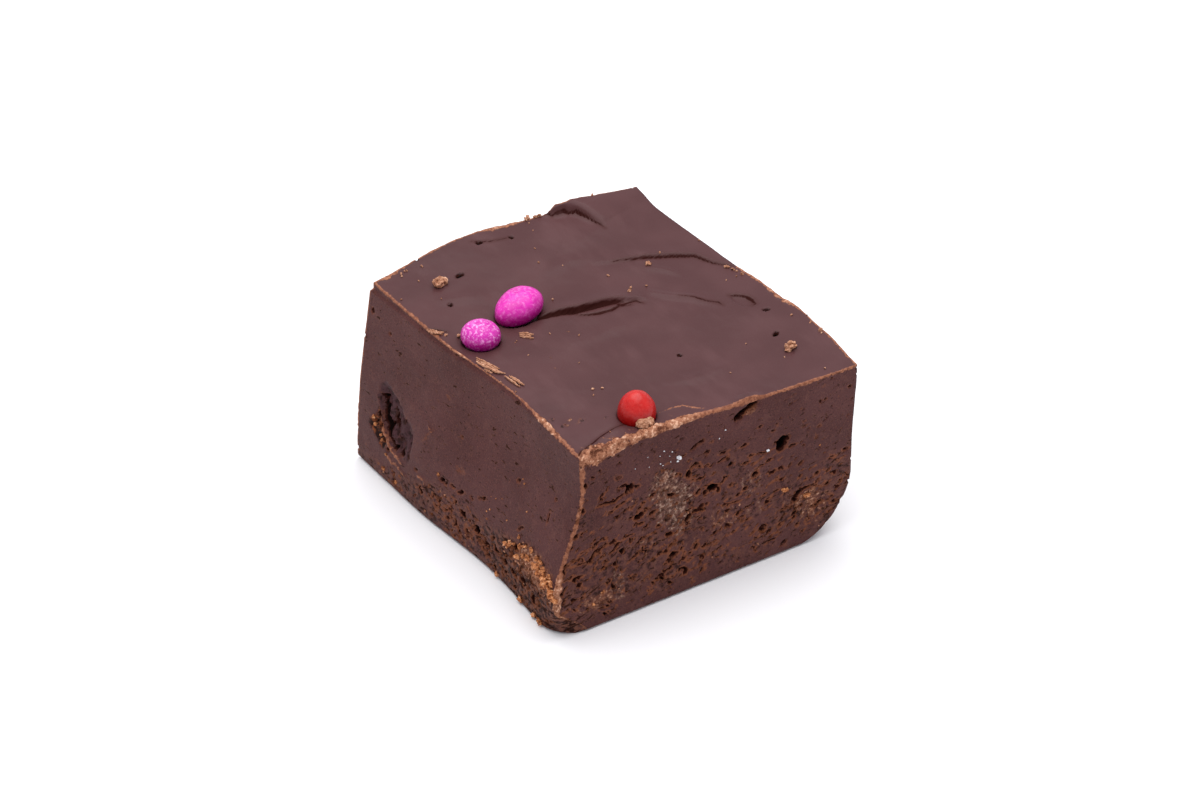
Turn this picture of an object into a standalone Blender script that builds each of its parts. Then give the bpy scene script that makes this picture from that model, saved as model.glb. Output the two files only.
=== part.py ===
"""A cut piece of chocolate fudge with three sugar-coated beads pressed into its top. Metres, +Z up.

The origin is at the middle of the base. The porous cut face looks towards -Y and the smooth cut face
towards -X. The face towards +X set against the pan, so its bottom edge is round, and the face towards
+Y is a third cut. The top is the poured skin, with folds where the fudge wrinkled as it set.
"""

import math
import random

import bmesh
import bpy
import numpy as np
from mathutils import Euler, Matrix, Vector, noise

MM = 0.001

# Driving sizes of the block, whose base is the widest part of it
HALF_WIDTH = 18.5 * MM
HALF_LENGTH = 20.1 * MM
HEIGHT = 20.5 * MM

# Heights of the four top corners, how far the skin swells at the back and along the porous face, and
# the height of the ridge right of the fold at the back
TOP_FRONT_LEFT, TOP_FRONT_RIGHT = 20.4 * MM, 20.3 * MM
TOP_BACK_LEFT, TOP_BACK_RIGHT = 21.2 * MM, 20.8 * MM
BACK_SWELL = 0.8 * MM
BACK_RIDGE = 0.9 * MM
FRONT_SWELL = 0.3 * MM
SKIN_WAVE = 0.22 * MM
SKIN_WAVE_LENGTH = 11.0 * MM

# Smooth cut face: x at its front and back end, at the top and at the base, and how hollow it was cut
LEFT_TOP = (-14.3 * MM, -15.9 * MM)
LEFT_BASE = (-18.0 * MM, -18.2 * MM)
LEFT_HOLLOWING = 0.8 * MM
KICK_HEIGHT = 17.0 * MM
KICK_FOOT = 5.0 * MM

# Porous cut face: y at its left and right end
FRONT_TOP = (-17.9 * MM, -20.1 * MM)
FRONT_BASE = (-19.2 * MM, -20.2 * MM)
FRONT_HOLLOWING = 0.7 * MM

# Pan face: x of its top edge from the front end to the back one, how far the base stands in from
# it, and the round of its bottom edge
PAN_TOP = (17.7 * MM, 18.4 * MM, 18.8 * MM, 18.3 * MM, 17.6 * MM, 17.4 * MM, 16.9 * MM, 17.5 * MM)
PAN_LEAN = 0.6 * MM
PAN_ROUND_ACROSS = 7.4 * MM
PAN_ROUND_UP = 7.6 * MM

# Back cut face: y at its left and right end
BACK_TOP = (18.4 * MM, 18.5 * MM)
BACK_BASE = (18.4 * MM, 18.7 * MM)
BACK_BELLY = 1.5 * MM

EDGE_ROUND = 0.45 * MM

# The front left corner is round at the base and sharp at the top
CORNER_ROUND = 3.4 * MM
CORNER_ROUND_UP = 4.0 * MM

# Folds of the skin: points (x, y) along each, its height and how wide its lip is, and for the
# crevice under the lip its depth, its width and the share of the line where it starts
FOLDS = {
    "middle": (
        [(-4.2, 4.4), (-2.2, 3.9), (-0.5, 3.2), (1.2, 2.9), (3.0, 2.6), (4.6, 2.0), (6.6, 1.1)],
        (0.65, 1.6),
        (0.7, 0.45, 0.0),
    ),
    "pan_side": (
        [(5.0, 8.8), (8.3, 7.8), (10.9, 7.2), (12.9, 6.2), (14.9, 4.8), (15.9, 2.7), (17.3, 1.2)],
        (0.35, 1.4),
        (0.4, 0.25, 0.0),
    ),
    "back_side": (
        [(3.5, 25.0), (5.7, 19.4), (6.9, 18.3), (8.2, 18.1), (9.0, 16.8), (9.8, 14.0)],
        (1.3, 5.0),
        (0.5, 0.30, 0.46),
    ),
    "front_plate": (
        [(-7.0, -15.2), (-9.2, -15.6), (-11.2, -16.2), (-13.1, -16.7)],
        (0.4, 1.6),
        (0.5, 0.25, 0.0),
    ),
}
FOLD_STEPS = 12

# Pits of the porous face: x, z, half length, half height, depth, and tilt in degrees
FRONT_PITS = [
    (8.9, 13.9, 0.75, 0.85, 1.6, 30),
    (4.2, 18.7, 1.0, 0.45, 1.2, 22),
    (5.8, 19.4, 0.7, 0.35, 0.8, 18),
    (-8.7, 14.9, 0.9, 0.50, 1.4, 22),
    (-11.6, 14.1, 1.5, 0.40, 0.7, 4),
    (-1.0, 16.9, 0.9, 0.40, 0.8, 20),
    (-1.7, 14.1, 0.6, 0.80, 0.8, 0),
    (0.7, 11.3, 1.1, 0.55, 0.9, 5),
    (-1.1, 9.2, 1.1, 0.50, 1.0, 5),
    (-7.8, 11.1, 0.9, 0.45, 1.0, 10),
    (-4.8, 8.2, 1.1, 0.55, 0.8, 8),
    (4.3, 15.1, 1.0, 0.45, 0.6, 5),
    (8.4, 10.6, 1.2, 0.50, 0.6, 5),
    (12.6, 4.8, 2.5, 1.90, 0.6, -10),
]

# Pits of the crumbly band of the smooth face: y, z, half length, half height, depth, tilt
LEFT_PITS = [
    (3.2, 6.4, 0.8, 0.4, 0.7, 10),
    (-0.7, 7.2, 0.7, 0.5, 0.7, 10),
    (-3.6, 4.0, 1.1, 0.7, 1.1, 0),
    (-0.4, 3.6, 0.8, 0.5, 0.8, 10),
    (-10.0, 7.6, 1.0, 0.6, 0.9, 20),
    (-13.4, 5.6, 1.1, 0.8, 1.0, 20),
    (8.4, 2.7, 0.9, 0.5, 0.7, 10),
]

# The hollow at the back of the smooth face, a broad one with a pocket behind its lower edge:
# y, z, half length, half height, depth, tilt
HOLLOW = [(11.6, 8.4, 2.6, 4.3, 1.1, 38), (14.5, 6.3, 0.9, 2.0, 0.8, 20)]

# Bubbles in the skin: x, y and radius
SKIN_BUBBLES = [(15.6, -7.1, 0.45), (14.0, -11.1, 0.50), (-7.1, 15.4, 0.50), (-2.9, 18.0, 0.40)]

# Pits that no picture shows, strewn over the back face
BACK_PIT_COUNT = 12
BACK_PIT_SIZE = (0.5, 1.1)
SEED = 12

# Beads: place of the middle (x, y), how far it stands above the skin, half sizes, turn about Z,
# tilt about Y, and how much narrower one end is
BEADS = {
    "bead_magenta_large": ((-5.9, 6.1), 0.75, (2.90, 2.12, 1.70), 14, -6, (0.16, 0.0)),
    "bead_magenta_small": ((-11.7, 4.1), 0.62, (2.05, 1.90, 1.62), -30, 4, (0.05, 0.0)),
    "bead_red": ((-5.6, -14.9), 0.52, (1.93, 1.93, 2.15), 0, 0, (0.0, -0.12)),
}
SOCKET_GAP = 0.3 * MM

# Cells of the block's surface, along X, Y and Z
CELLS = (33, 37, 14)
CRAG = 0.13 * MM
CRAG_LENGTH = 2.2 * MM
STEP_WIDTH = 0.6 * MM
RIM_CRAG = 0.30 * MM
RIM_REACH = 1.6 * MM

FINISHES = {
    "fudge": ((0.105, 0.040, 0.034, 1.0), 0.45),
    "magenta_sugar": ((0.70, 0.035, 0.42, 1.0), 0.38),
    "red_sugar": ((0.62, 0.022, 0.020, 1.0), 0.42),
}
BEAD_FINISH = {
    "bead_magenta_large": "magenta_sugar",
    "bead_magenta_small": "magenta_sugar",
    "bead_red": "red_sugar",
}


def mix(a, b, t):
    return a + (b - a) * t


def smooth(t):
    """0 below 0, 1 above 1, and an even slope-free step between."""
    t = np.clip(t, 0.0, 1.0)
    return t * t * (3.0 - 2.0 * t)


def hump(t, middle, reach):
    """1 at the middle, falling to 0 at reach on either side."""
    return np.cos(np.clip((t - middle) / reach, -1.0, 1.0) * math.pi / 2) ** 2


def across(x):
    return (x + HALF_WIDTH) / (2 * HALF_WIDTH)


def along(y):
    return (y + HALF_LENGTH) / (2 * HALF_LENGTH)


def rounding(z, inward, up):
    """How far a wall is drawn in at height z, for a bottom edge rounded that far inward and up."""
    share = np.clip((up - z) / up, 0.0, 1.0)
    return inward * (1.0 - np.sqrt(1.0 - share**2))


def corner_round(y, z):
    """How far the smooth face is drawn in beside the front left corner."""
    radius = CORNER_ROUND * smooth((CORNER_ROUND_UP - z) / CORNER_ROUND_UP) + 0.2 * MM
    from_corner = y - mix(FRONT_BASE[0], FRONT_TOP[0], z / HEIGHT)
    return rounding(np.maximum(from_corner, 0.0), radius, radius)


def left_wall(y, z):
    t, w = along(y), z / HEIGHT
    kick = smooth((KICK_HEIGHT - z) / (KICK_HEIGHT - KICK_FOOT))
    lean = np.sin(np.clip(1.0 - w, 0.0, 1.0) * math.pi / 2)
    x = mix(mix(*LEFT_TOP, t), mix(*LEFT_BASE, t), mix(kick, lean, t))
    x = x + LEFT_HOLLOWING * hump(t, 0.36, 0.34) + corner_round(y, z)
    return x + rounding(z, EDGE_ROUND, EDGE_ROUND)


def right_wall(y, z):
    top = np.interp(along(y), np.linspace(0.0, 1.0, len(PAN_TOP)), PAN_TOP)
    return top - PAN_LEAN * (1.0 - z / HEIGHT) - rounding(z, PAN_ROUND_ACROSS, PAN_ROUND_UP)


def front_wall(x, z):
    s, w = across(x), z / HEIGHT
    y = mix(mix(*FRONT_BASE, s), mix(*FRONT_TOP, s) + FRONT_HOLLOWING * hump(s, 0.38, 0.45), w)
    return y + rounding(z, EDGE_ROUND, EDGE_ROUND)


def back_wall(x, z):
    s, w = across(x), z / HEIGHT
    y = mix(mix(*BACK_BASE, s), mix(*BACK_TOP, s), w) + BACK_BELLY * hump(s, 0.40, 0.45)
    return y - rounding(z, EDGE_ROUND, EDGE_ROUND)


def fold_height(x, y, points, height, lip):
    """A soft step of the skin along a line: a lip on its left side and a trough on its right."""
    nearest = np.full(x.shape, np.inf)
    side = np.zeros(x.shape)
    share = np.zeros(x.shape)
    line = [Vector(p) * MM for p in points]
    lengths = [(b - a).length for a, b in zip(line, line[1:])]
    done = 0.0
    for a, b, length in zip(line, line[1:], lengths):
        ux, uy = (b - a) / length
        run = np.clip((x - a.x) * ux + (y - a.y) * uy, 0.0, length)
        gap_x, gap_y = x - a.x - run * ux, y - a.y - run * uy
        gap = np.hypot(gap_x, gap_y)
        closer = gap < nearest
        nearest = np.where(closer, gap, nearest)
        side = np.where(closer, np.sign(ux * gap_y - uy * gap_x), side)
        share = np.where(closer, (done + run) / sum(lengths), share)
        done += length
    fade = np.sin(np.pi * np.clip(share, 0.0, 1.0)) ** 0.6
    lip_side = 0.5 + 0.5 * np.tanh(side * nearest / STEP_WIDTH)
    lip_part = 0.75 * np.exp(-nearest / (lip * MM)) * lip_side
    trough_part = 0.40 * np.exp(-nearest / (0.5 * lip * MM)) * (1.0 - lip_side)
    return height * MM * fade * (lip_part - trough_part)


def wave(x, y, length, seed):
    """Smooth noise from -1 to 1 on a plan position."""
    flat = zip(np.ravel(x), np.ravel(y))
    values = [noise.noise(Vector((px / length, py / length, seed))) for px, py in flat]
    return np.reshape(values, np.shape(x))


def skin_height(x, y):
    s, t = across(x), along(y)
    front = mix(TOP_FRONT_LEFT, TOP_FRONT_RIGHT, s)
    back = mix(TOP_BACK_LEFT, TOP_BACK_RIGHT, s)
    z = mix(front, back, t)
    z = z + BACK_SWELL * hump(s, 0.42, 0.45) * smooth((t - 0.6) / 0.4)
    z = z + BACK_RIDGE * hump(s, 0.78, 0.27) * smooth((t - 0.7) / 0.3)
    z = z + FRONT_SWELL * hump(s, 0.42, 0.40) * smooth((0.25 - t) / 0.25)
    z = z + SKIN_WAVE * wave(x, y, SKIN_WAVE_LENGTH, 3.7)
    for points, (height, lip), _ in FOLDS.values():
        z = z + fold_height(x, y, points, height, lip)
    return z


def place(u, v, w):
    """Points of the block from shares of its width, length and height, by settling the walls."""
    x, y = mix(-HALF_WIDTH, HALF_WIDTH, u), mix(-HALF_LENGTH, HALF_LENGTH, v)
    z = w * HEIGHT
    for _ in range(5):
        x = mix(left_wall(y, z), right_wall(y, z), u)
        y = mix(front_wall(x, z), back_wall(x, z), v)
        z = w * skin_height(x, y)
    return x, y, z


def row_shares(count):
    """Heights of the rows of cells, closer together where the bottom edges are round."""
    return [(row / count) ** 1.5 for row in range(count + 1)]


def crag(point, length, seed):
    return noise.fractal(Vector(point) / length + Vector((seed, 0.0, 0.0)), 1.0, 2.0, 3)


def roughen(vert, u, v, w):
    """Moves a vertex of a cut face in or out of it, and breaks up the rims."""
    if w == 0.0:
        return
    outward = Vector((0.0, 0.0, 0.0))
    if v == 0.0:
        outward.y = -1.0
    if u == 0.0:
        outward.x = -0.5 if w > 0.5 else -0.8
    if v == 1.0:
        outward.y = 0.8
    point = vert.co.copy()
    vert.co += outward * CRAG * crag(point, CRAG_LENGTH, 5.0)
    from_top = skin_height(np.array(point.x), np.array(point.y)) - point.z
    rim = max(0.0, 1.0 - from_top / RIM_REACH) if v == 0.0 or u == 0.0 else 0.0
    if w == 1.0 and (u == 0.0 or v in (0.0, 1.0)):
        vert.co.z += RIM_CRAG * 0.6 * abs(crag(point, CRAG_LENGTH * 0.6, 9.0))
    vert.co += outward * RIM_CRAG * rim * crag(point, CRAG_LENGTH * 0.6, 7.0)


def new_object(name, mesh, finish=None):
    obj = bpy.data.objects.new(name, mesh)
    bpy.context.scene.collection.objects.link(obj)
    if finish:
        mesh.materials.append(bpy.data.materials[finish])
    return obj


def mesh_from(name, bm):
    mesh = bpy.data.meshes.new(name)
    bmesh.ops.recalc_face_normals(bm, faces=bm.faces)
    bm.to_mesh(mesh)
    bm.free()
    return mesh


def make_materials():
    for name, (colour, roughness) in FINISHES.items():
        material = bpy.data.materials.new(name)
        material.use_nodes = True
        shader = material.node_tree.nodes["Principled BSDF"]
        shader.inputs["Base Color"].default_value = colour
        shader.inputs["Roughness"].default_value = roughness
        shader.inputs["Metallic"].default_value = 0.0


def fudge_shell():
    """The block's surface as a box of cells, each vertex settled onto the walls and the skin."""
    nx, ny, nz = CELLS
    rows = row_shares(nz)
    bm = bmesh.new()
    keys = [
        (i, j, k)
        for i in range(nx + 1)
        for j in range(ny + 1)
        for k in range(nz + 1)
        if k == nz or i in (0, nx) or j in (0, ny)
    ]
    u = np.array([i / nx for i, j, k in keys])
    v = np.array([j / ny for i, j, k in keys])
    w = np.array([rows[k] for i, j, k in keys])
    x, y, z = place(u, v, w)
    verts = {key: bm.verts.new((x[n], y[n], z[n])) for n, key in enumerate(keys)}
    for n, key in enumerate(keys):
        roughen(verts[key], u[n], v[n], w[n])

    def cell(*corners):
        bm.faces.new([verts[c] for c in corners])

    for i in range(nx):
        for j in range(ny):
            cell((i, j, nz), (i + 1, j, nz), (i + 1, j + 1, nz), (i, j + 1, nz))
    for k in range(nz):
        for i in range(nx):
            for j in (0, ny):
                cell((i, j, k), (i + 1, j, k), (i + 1, j, k + 1), (i, j, k + 1))
        for j in range(ny):
            for i in (0, nx):
                cell((i, j, k), (i, j + 1, k), (i, j + 1, k + 1), (i, j, k + 1))
    base = [(i, 0, 0) for i in range(nx)] + [(nx, j, 0) for j in range(ny)]
    base += [(i, ny, 0) for i in range(nx, 0, -1)] + [(0, j, 0) for j in range(ny, 0, -1)]
    cell(*base)
    return mesh_from("fudge_block", bm)


def bead_mesh(name, halves, ends, swell=0.0):
    """An egg-like bead: the half sizes plus swell, narrowed along X and along Z by the two ends."""
    bm = bmesh.new()
    bmesh.ops.create_uvsphere(bm, u_segments=20, v_segments=12, radius=1.0)
    for vert in bm.verts:
        narrow = (1.0 + ends[0] * vert.co.x) * (1.0 + ends[1] * vert.co.z)
        a, b, c = (half * MM + swell for half in halves)
        vert.co = Vector((a * vert.co.x, b * vert.co.y * narrow, c * vert.co.z))
        if ends[1]:
            vert.co.x *= narrow
    return mesh_from(name, bm)


def bead_matrix(middle, above, turn, tilt):
    x, y = (value * MM for value in middle)
    z = float(skin_height(np.array(x), np.array(y))) + above * MM
    turned = Euler((0.0, math.radians(tilt), math.radians(turn)), "XYZ").to_matrix().to_4x4()
    return Matrix.Translation((x, y, z)) @ turned


def pit_mesh(name, matrix, halves, seed):
    """A lumpy pit: a ball of 80 faces, stretched, roughened and put on its wall."""
    bm = bmesh.new()
    bmesh.ops.create_icosphere(bm, subdivisions=2, radius=1.0)
    for vert in bm.verts:
        lump = 1.0 + 0.22 * noise.noise(vert.co * 1.7 + Vector((seed, seed, 0.0)))
        vert.co = Vector(a * b * lump * MM for a, b in zip(vert.co, halves))
    bm.transform(matrix)
    return mesh_from(name, bm)


def add_cutter(cutters, name, mesh):
    obj = bpy.data.objects.new(name, mesh)
    obj.hide_render = True
    obj.display_type = "WIRE"
    cutters.objects.link(obj)


def wall_cutters(cutters):
    """Cutters for the pits of the three cut faces and for the hollow of the smooth one."""
    for n, (x, z, half, up, depth, tilt) in enumerate(FRONT_PITS):
        y = float(front_wall(np.array(x * MM), np.array(z * MM)))
        turned = Matrix.Rotation(math.radians(-tilt), 4, "Y")
        matrix = Matrix.Translation((x * MM, y, z * MM)) @ turned
        add_cutter(cutters, f"front_pit_{n}", pit_mesh(f"front_pit_{n}", matrix, (half, depth, up), n))
    for n, (y, z, half, up, depth, tilt) in enumerate([*LEFT_PITS, *HOLLOW]):
        x = float(left_wall(np.array(y * MM), np.array(z * MM)))
        turned = Matrix.Rotation(math.radians(-tilt), 4, "X")
        matrix = Matrix.Translation((x, y * MM, z * MM)) @ turned
        add_cutter(cutters, f"left_pit_{n}", pit_mesh(f"left_pit_{n}", matrix, (depth, half, up), n + 30))
    rng = random.Random(SEED)
    for n in range(BACK_PIT_COUNT):
        column, row = n % 4, n // 4
        x = (-13.5 + 8.0 * column + rng.uniform(-2.0, 2.0)) * MM
        z = (4.0 + 5.0 * row + rng.uniform(-1.2, 1.2)) * MM
        half = rng.uniform(*BACK_PIT_SIZE)
        y = float(back_wall(np.array(x), np.array(z)))
        turned = Matrix.Rotation(rng.uniform(-0.6, 0.6), 4, "Y")
        matrix = Matrix.Translation((x, y, z)) @ turned
        halves = (half, 0.8 * half, 0.6 * half)
        add_cutter(cutters, f"back_pit_{n}", pit_mesh(f"back_pit_{n}", matrix, halves, n + 60))


def line_point(points, share):
    """The point at a share of a line's length, and the unit direction of the line there."""
    line = [Vector(p) * MM for p in points]
    lengths = [(b - a).length for a, b in zip(line, line[1:])]
    left = share * sum(lengths)
    for a, b, length in zip(line, line[1:], lengths):
        if left <= length or b is line[-1]:
            return a + (b - a) * min(1.0, left / length), (b - a) / length
        left -= length


def crevice_mesh(name, points, depth, width, start):
    """The crevice under a fold's lip: a thin wedge along the line, leaning in under the lip."""
    bm = bmesh.new()
    rings = []
    for step in range(FOLD_STEPS + 1):
        share = step / FOLD_STEPS
        middle, direction = line_point(points, mix(start, 1.0, share))
        swell = math.sin(math.pi * min(max(share, 0.03), 0.97)) ** 0.5
        to_lip = Vector((-direction.y, direction.x, 0.0)) * width * MM * swell
        z = float(skin_height(np.array(middle.x), np.array(middle.y)))
        foot = Vector((middle.x, middle.y, z))
        up = Vector((0.0, 0.0, MM))
        ring = (
            foot - to_lip * 0.9 + up * 0.5,
            foot + to_lip * 0.4 + up * 1.2,
            foot + to_lip * 0.9 - up * 0.4 * depth * swell,
            foot + to_lip * 0.6 - up * depth * swell,
            foot - to_lip * 0.4 - up * 0.5 * depth * swell,
        )
        rings.append([bm.verts.new(p) for p in ring])
    for one, other in zip(rings, rings[1:]):
        for n in range(len(one)):
            m = (n + 1) % len(one)
            bm.faces.new((one[n], one[m], other[m], other[n]))
    bm.faces.new(rings[0])
    bm.faces.new(rings[-1])
    return mesh_from(name, bm)


def skin_cutters(cutters):
    """Cutters for the folds and bubbles of the skin and for the sockets that the beads sit in."""
    for name, (points, _, crevice) in FOLDS.items():
        add_cutter(cutters, f"{name}_crevice", crevice_mesh(f"{name}_crevice", points, *crevice))
    for n, (x, y, radius) in enumerate(SKIN_BUBBLES):
        z = float(skin_height(np.array(x * MM), np.array(y * MM)))
        matrix = Matrix.Translation((x * MM, y * MM, z))
        halves = (radius, radius * 0.7, radius)
        add_cutter(cutters, f"bubble_{n}", pit_mesh(f"bubble_{n}", matrix, halves, n + 90))
    for name, (middle, above, halves, turn, tilt, ends) in BEADS.items():
        mesh = bead_mesh(f"{name}_socket", halves, ends, swell=SOCKET_GAP)
        mesh.transform(bead_matrix(middle, above, turn, tilt))
        add_cutter(cutters, f"{name}_socket", mesh)


def make_fudge_block():
    block = new_object("fudge_block", fudge_shell(), "fudge")
    cutters = bpy.data.collections.new("cutters")
    cutters.hide_render = True
    bpy.context.scene.collection.children.link(cutters)
    wall_cutters(cutters)
    skin_cutters(cutters)
    cut = block.modifiers.new("pits_and_sockets", "BOOLEAN")
    cut.operation = "DIFFERENCE"
    cut.operand_type = "COLLECTION"
    cut.collection = cutters
    cut.solver = "EXACT"
    block.data.shade_smooth()
    block.data.set_sharp_from_angle(angle=math.radians(40))


def make_beads():
    for name, (middle, above, halves, turn, tilt, ends) in BEADS.items():
        bead = new_object(name, bead_mesh(name, halves, ends), BEAD_FINISH[name])
        bead.matrix_world = bead_matrix(middle, above, turn, tilt)
        bead.data.shade_smooth()


def main():
    for obj in list(bpy.data.objects):
        bpy.data.objects.remove(obj)
    make_materials()
    make_fudge_block()
    make_beads()


main()
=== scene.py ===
"""Looks of a cut piece of chocolate fudge with three sugar-coated beads pressed into its skin.

Lengths are in millimetres until a mesh is made. The porous cut face looks towards -Y, the smooth cut
face towards -X, and the face towards +X set against the pan.
"""

import math
import random

import bmesh
import bpy
import numpy as np
from mathutils import Euler, Matrix, Vector, noise


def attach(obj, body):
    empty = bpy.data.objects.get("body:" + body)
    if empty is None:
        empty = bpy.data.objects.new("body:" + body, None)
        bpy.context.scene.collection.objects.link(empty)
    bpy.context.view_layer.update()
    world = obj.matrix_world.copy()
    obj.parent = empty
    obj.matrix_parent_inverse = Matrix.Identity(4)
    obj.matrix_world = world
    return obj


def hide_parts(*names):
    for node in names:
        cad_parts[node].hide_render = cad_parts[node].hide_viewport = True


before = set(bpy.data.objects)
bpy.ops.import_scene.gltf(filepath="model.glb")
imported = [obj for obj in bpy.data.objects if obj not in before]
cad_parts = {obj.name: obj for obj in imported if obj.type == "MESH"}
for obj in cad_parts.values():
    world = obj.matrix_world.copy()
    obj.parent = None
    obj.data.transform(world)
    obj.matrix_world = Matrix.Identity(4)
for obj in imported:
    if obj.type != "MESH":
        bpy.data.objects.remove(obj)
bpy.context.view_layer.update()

MM = 0.001
# A full turn, near enough for what lies at random
FULL_TURN = 6.28

# The block, as it was poured and cut
HALF_WIDTH, HALF_LENGTH, HEIGHT = 18.5, 20.1, 20.5
# The skin: its height at the corners, its swells, its slow wave, and its rough size between the rims
TOP_FRONT_LEFT, TOP_FRONT_RIGHT = 20.4, 20.3
TOP_BACK_LEFT, TOP_BACK_RIGHT = 21.2, 20.8
BACK_SWELL, BACK_RIDGE, FRONT_SWELL = 0.8, 0.9, 0.3
SKIN_WAVE, SKIN_WAVE_LENGTH = 0.22, 11.0
SKIN_WIDTH, SKIN_LENGTH = 35.0, 38.5
# The left wall: its X from the front end to the back end, at the top and at the base, how far it is
# hollowed, and the heights between which it kicks out to its foot
LEFT_TOP, LEFT_BASE = (-14.3, -15.9), (-18.0, -18.2)
LEFT_HOLLOWING = 0.8
KICK_HEIGHT, KICK_FOOT = 17.0, 5.0
# The front wall and the back wall: their Y from the left end to the right end
FRONT_TOP, FRONT_BASE = (-17.9, -20.1), (-19.2, -20.2)
FRONT_HOLLOWING = 0.7
BACK_TOP, BACK_BASE = (18.4, 18.5), (18.4, 18.7)
BACK_BELLY = 1.5
# The pan side: X of its top edge from the front to the back, its lean, and its round bottom edge
PAN_TOP = (17.7, 18.4, 18.8, 18.3, 17.6, 17.4, 16.9, 17.5)
PAN_LEAN = 0.6
PAN_ROUND_ACROSS, PAN_ROUND_UP = 7.4, 7.6
# Rounds of the bottom edges, of the near corner and how high that one goes, and of the rim of the skin
EDGE_ROUND = 0.45
CORNER_ROUND, CORNER_ROUND_UP = 3.4, 4.0
RIM_ROUND = 0.25

# Where along its wall each swell stands and how far it reaches, as shares of the wall's length
LEFT_HOLLOWING_AT, FRONT_HOLLOWING_AT, BACK_BELLY_AT = (0.36, 0.34), (0.38, 0.45), (0.40, 0.45)
BACK_SWELL_AT, BACK_RIDGE_AT, FRONT_SWELL_AT = (0.42, 0.45), (0.78, 0.27), (0.42, 0.40)
# Rounds in which the walls and the skin are fitted to one another
SETTLING_ROUNDS = 4

# Folds of the skin: points (x, y), height, width of the lip on the left of the line, width of the step
FOLDS = [
    ([(-4.2, 4.4), (-2.2, 3.9), (-0.5, 3.2), (1.2, 2.9), (3.0, 2.6), (4.6, 2.0), (6.6, 1.1)],
     0.65, 1.6, 0.16),
    ([(5.0, 8.8), (8.3, 7.8), (10.9, 7.2), (12.9, 6.2), (14.9, 4.8), (15.9, 2.7), (17.3, 1.2)],
     0.35, 1.4, 0.20),
    ([(3.5, 25.0), (5.7, 19.4), (6.9, 18.3), (8.2, 18.1), (9.0, 16.8), (9.8, 14.0)], 1.3, 5.0, 0.50),
    ([(-1.4, 2.7), (0.0, 1.9), (1.2, 1.5), (2.4, 1.4), (3.5, 1.7), (4.7, 1.1)], 0.20, 0.6, 0.14),
    ([(-7.5, -15.4), (-9.1, -15.6), (-10.6, -15.9), (-12.0, -16.4), (-13.3, -16.8), (-14.6, -17.4)],
     0.4, 1.6, 0.14),
]
# Height of a fold's lip and depth of the trough beside it, as shares of the fold's height
FOLD_LIP, FOLD_TROUGH = 0.75, 0.40

# Creases of the skin, coloured dark with painted shade in the finish: points, half width, depth
CREASES = [
    ([(-6.8, 5.0), (-4.3, 4.2), (-2.2, 3.7), (-0.5, 3.05), (1.2, 2.75), (3.0, 2.45), (4.3, 2.05)],
     0.30, 0.34),
    ([(-1.0, 2.6), (0.0, 1.85), (1.2, 1.42), (2.4, 1.34), (3.5, 1.62), (4.7, 1.05)], 0.13, 0.12),
    ([(3.1, 2.2), (3.9, 1.6), (5.4, 1.4), (5.9, 0.6)], 0.11, 0.06),
    ([(7.2, 8.2), (9.3, 7.6), (10.9, 7.1), (12.9, 6.1), (14.9, 4.7), (15.9, 2.6), (17.3, 1.1)], 0.14, 0.16),
    ([(5.6, 19.6), (6.3, 18.2), (7.6, 18.0), (8.6, 17.2), (9.1, 16.0), (9.6, 14.4), (9.8, 13.4)], 0.14, 0.20),
    ([(-14.6, -17.5), (-13.3, -16.9), (-12.0, -16.5), (-10.6, -16.0), (-9.1, -15.7), (-7.6, -15.5)],
     0.18, 0.22),
    ([(-15.6, 8.7), (-14.6, 8.1), (-13.7, 7.3)], 0.16, 0.20),
    ([(9.6, -0.4), (10.6, -1.3), (11.3, -2.5), (12.3, -3.4), (12.5, -4.1)], 0.10, 0.05),
    ([(13.9, -3.1), (14.5, -3.4), (15.3, -4.2), (15.5, -5.0), (15.3, -5.8), (14.8, -5.9)], 0.13, 0.12),
    ([(-3.6, 18.6), (-1.8, 17.6), (0.0, 17.2)], 0.07, 0.03),
]
# Fine pale ridges of the skin, where it was bruised: points, half width, height
PALE_LINES = [
    ([(-10.8, -16.4), (-10.3, -16.8), (-9.2, -17.3)], 0.10, 0.05),
    ([(-12.4, -17.0), (-12.1, -17.6)], 0.10, 0.05),
    ([(-3.5, -15.7), (-2.0, -15.85), (-0.9, -16.1), (-0.3, -16.9), (0.8, -17.8)], 0.11, 0.06),
    ([(-5.0, -17.2), (-4.0, -17.7), (-3.1, -18.2)], 0.10, 0.05),
    ([(-13.6, -17.0), (-12.9, -17.5), (-12.2, -17.4)], 0.10, 0.05),
]

# Faint wrinkles that only stretch the skin: points, height and width
WRINKLES = [
    ([(7.0, 2.6), (9.0, 0.1), (10.6, -1.3), (11.3, -2.5), (12.3, -3.4)], 0.14, 0.5),
    ([(9.4, 6.0), (11.0, 4.6), (12.2, 2.6)], 0.09, 0.5),
    ([(-6.5, -0.5), (-2.5, -1.6), (1.5, -1.4), (4.6, -0.6)], 0.10, 0.9),
    ([(-0.5, -12.2), (3.5, -13.0), (8.0, -12.6)], 0.09, 0.8),
    ([(-12.2, 12.4), (-8.4, 10.6), (-6.5, 10.4)], 0.09, 0.8),
    ([(-1.0, 9.6), (3.0, 10.6), (7.0, 9.4)], 0.08, 0.8),
]

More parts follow.
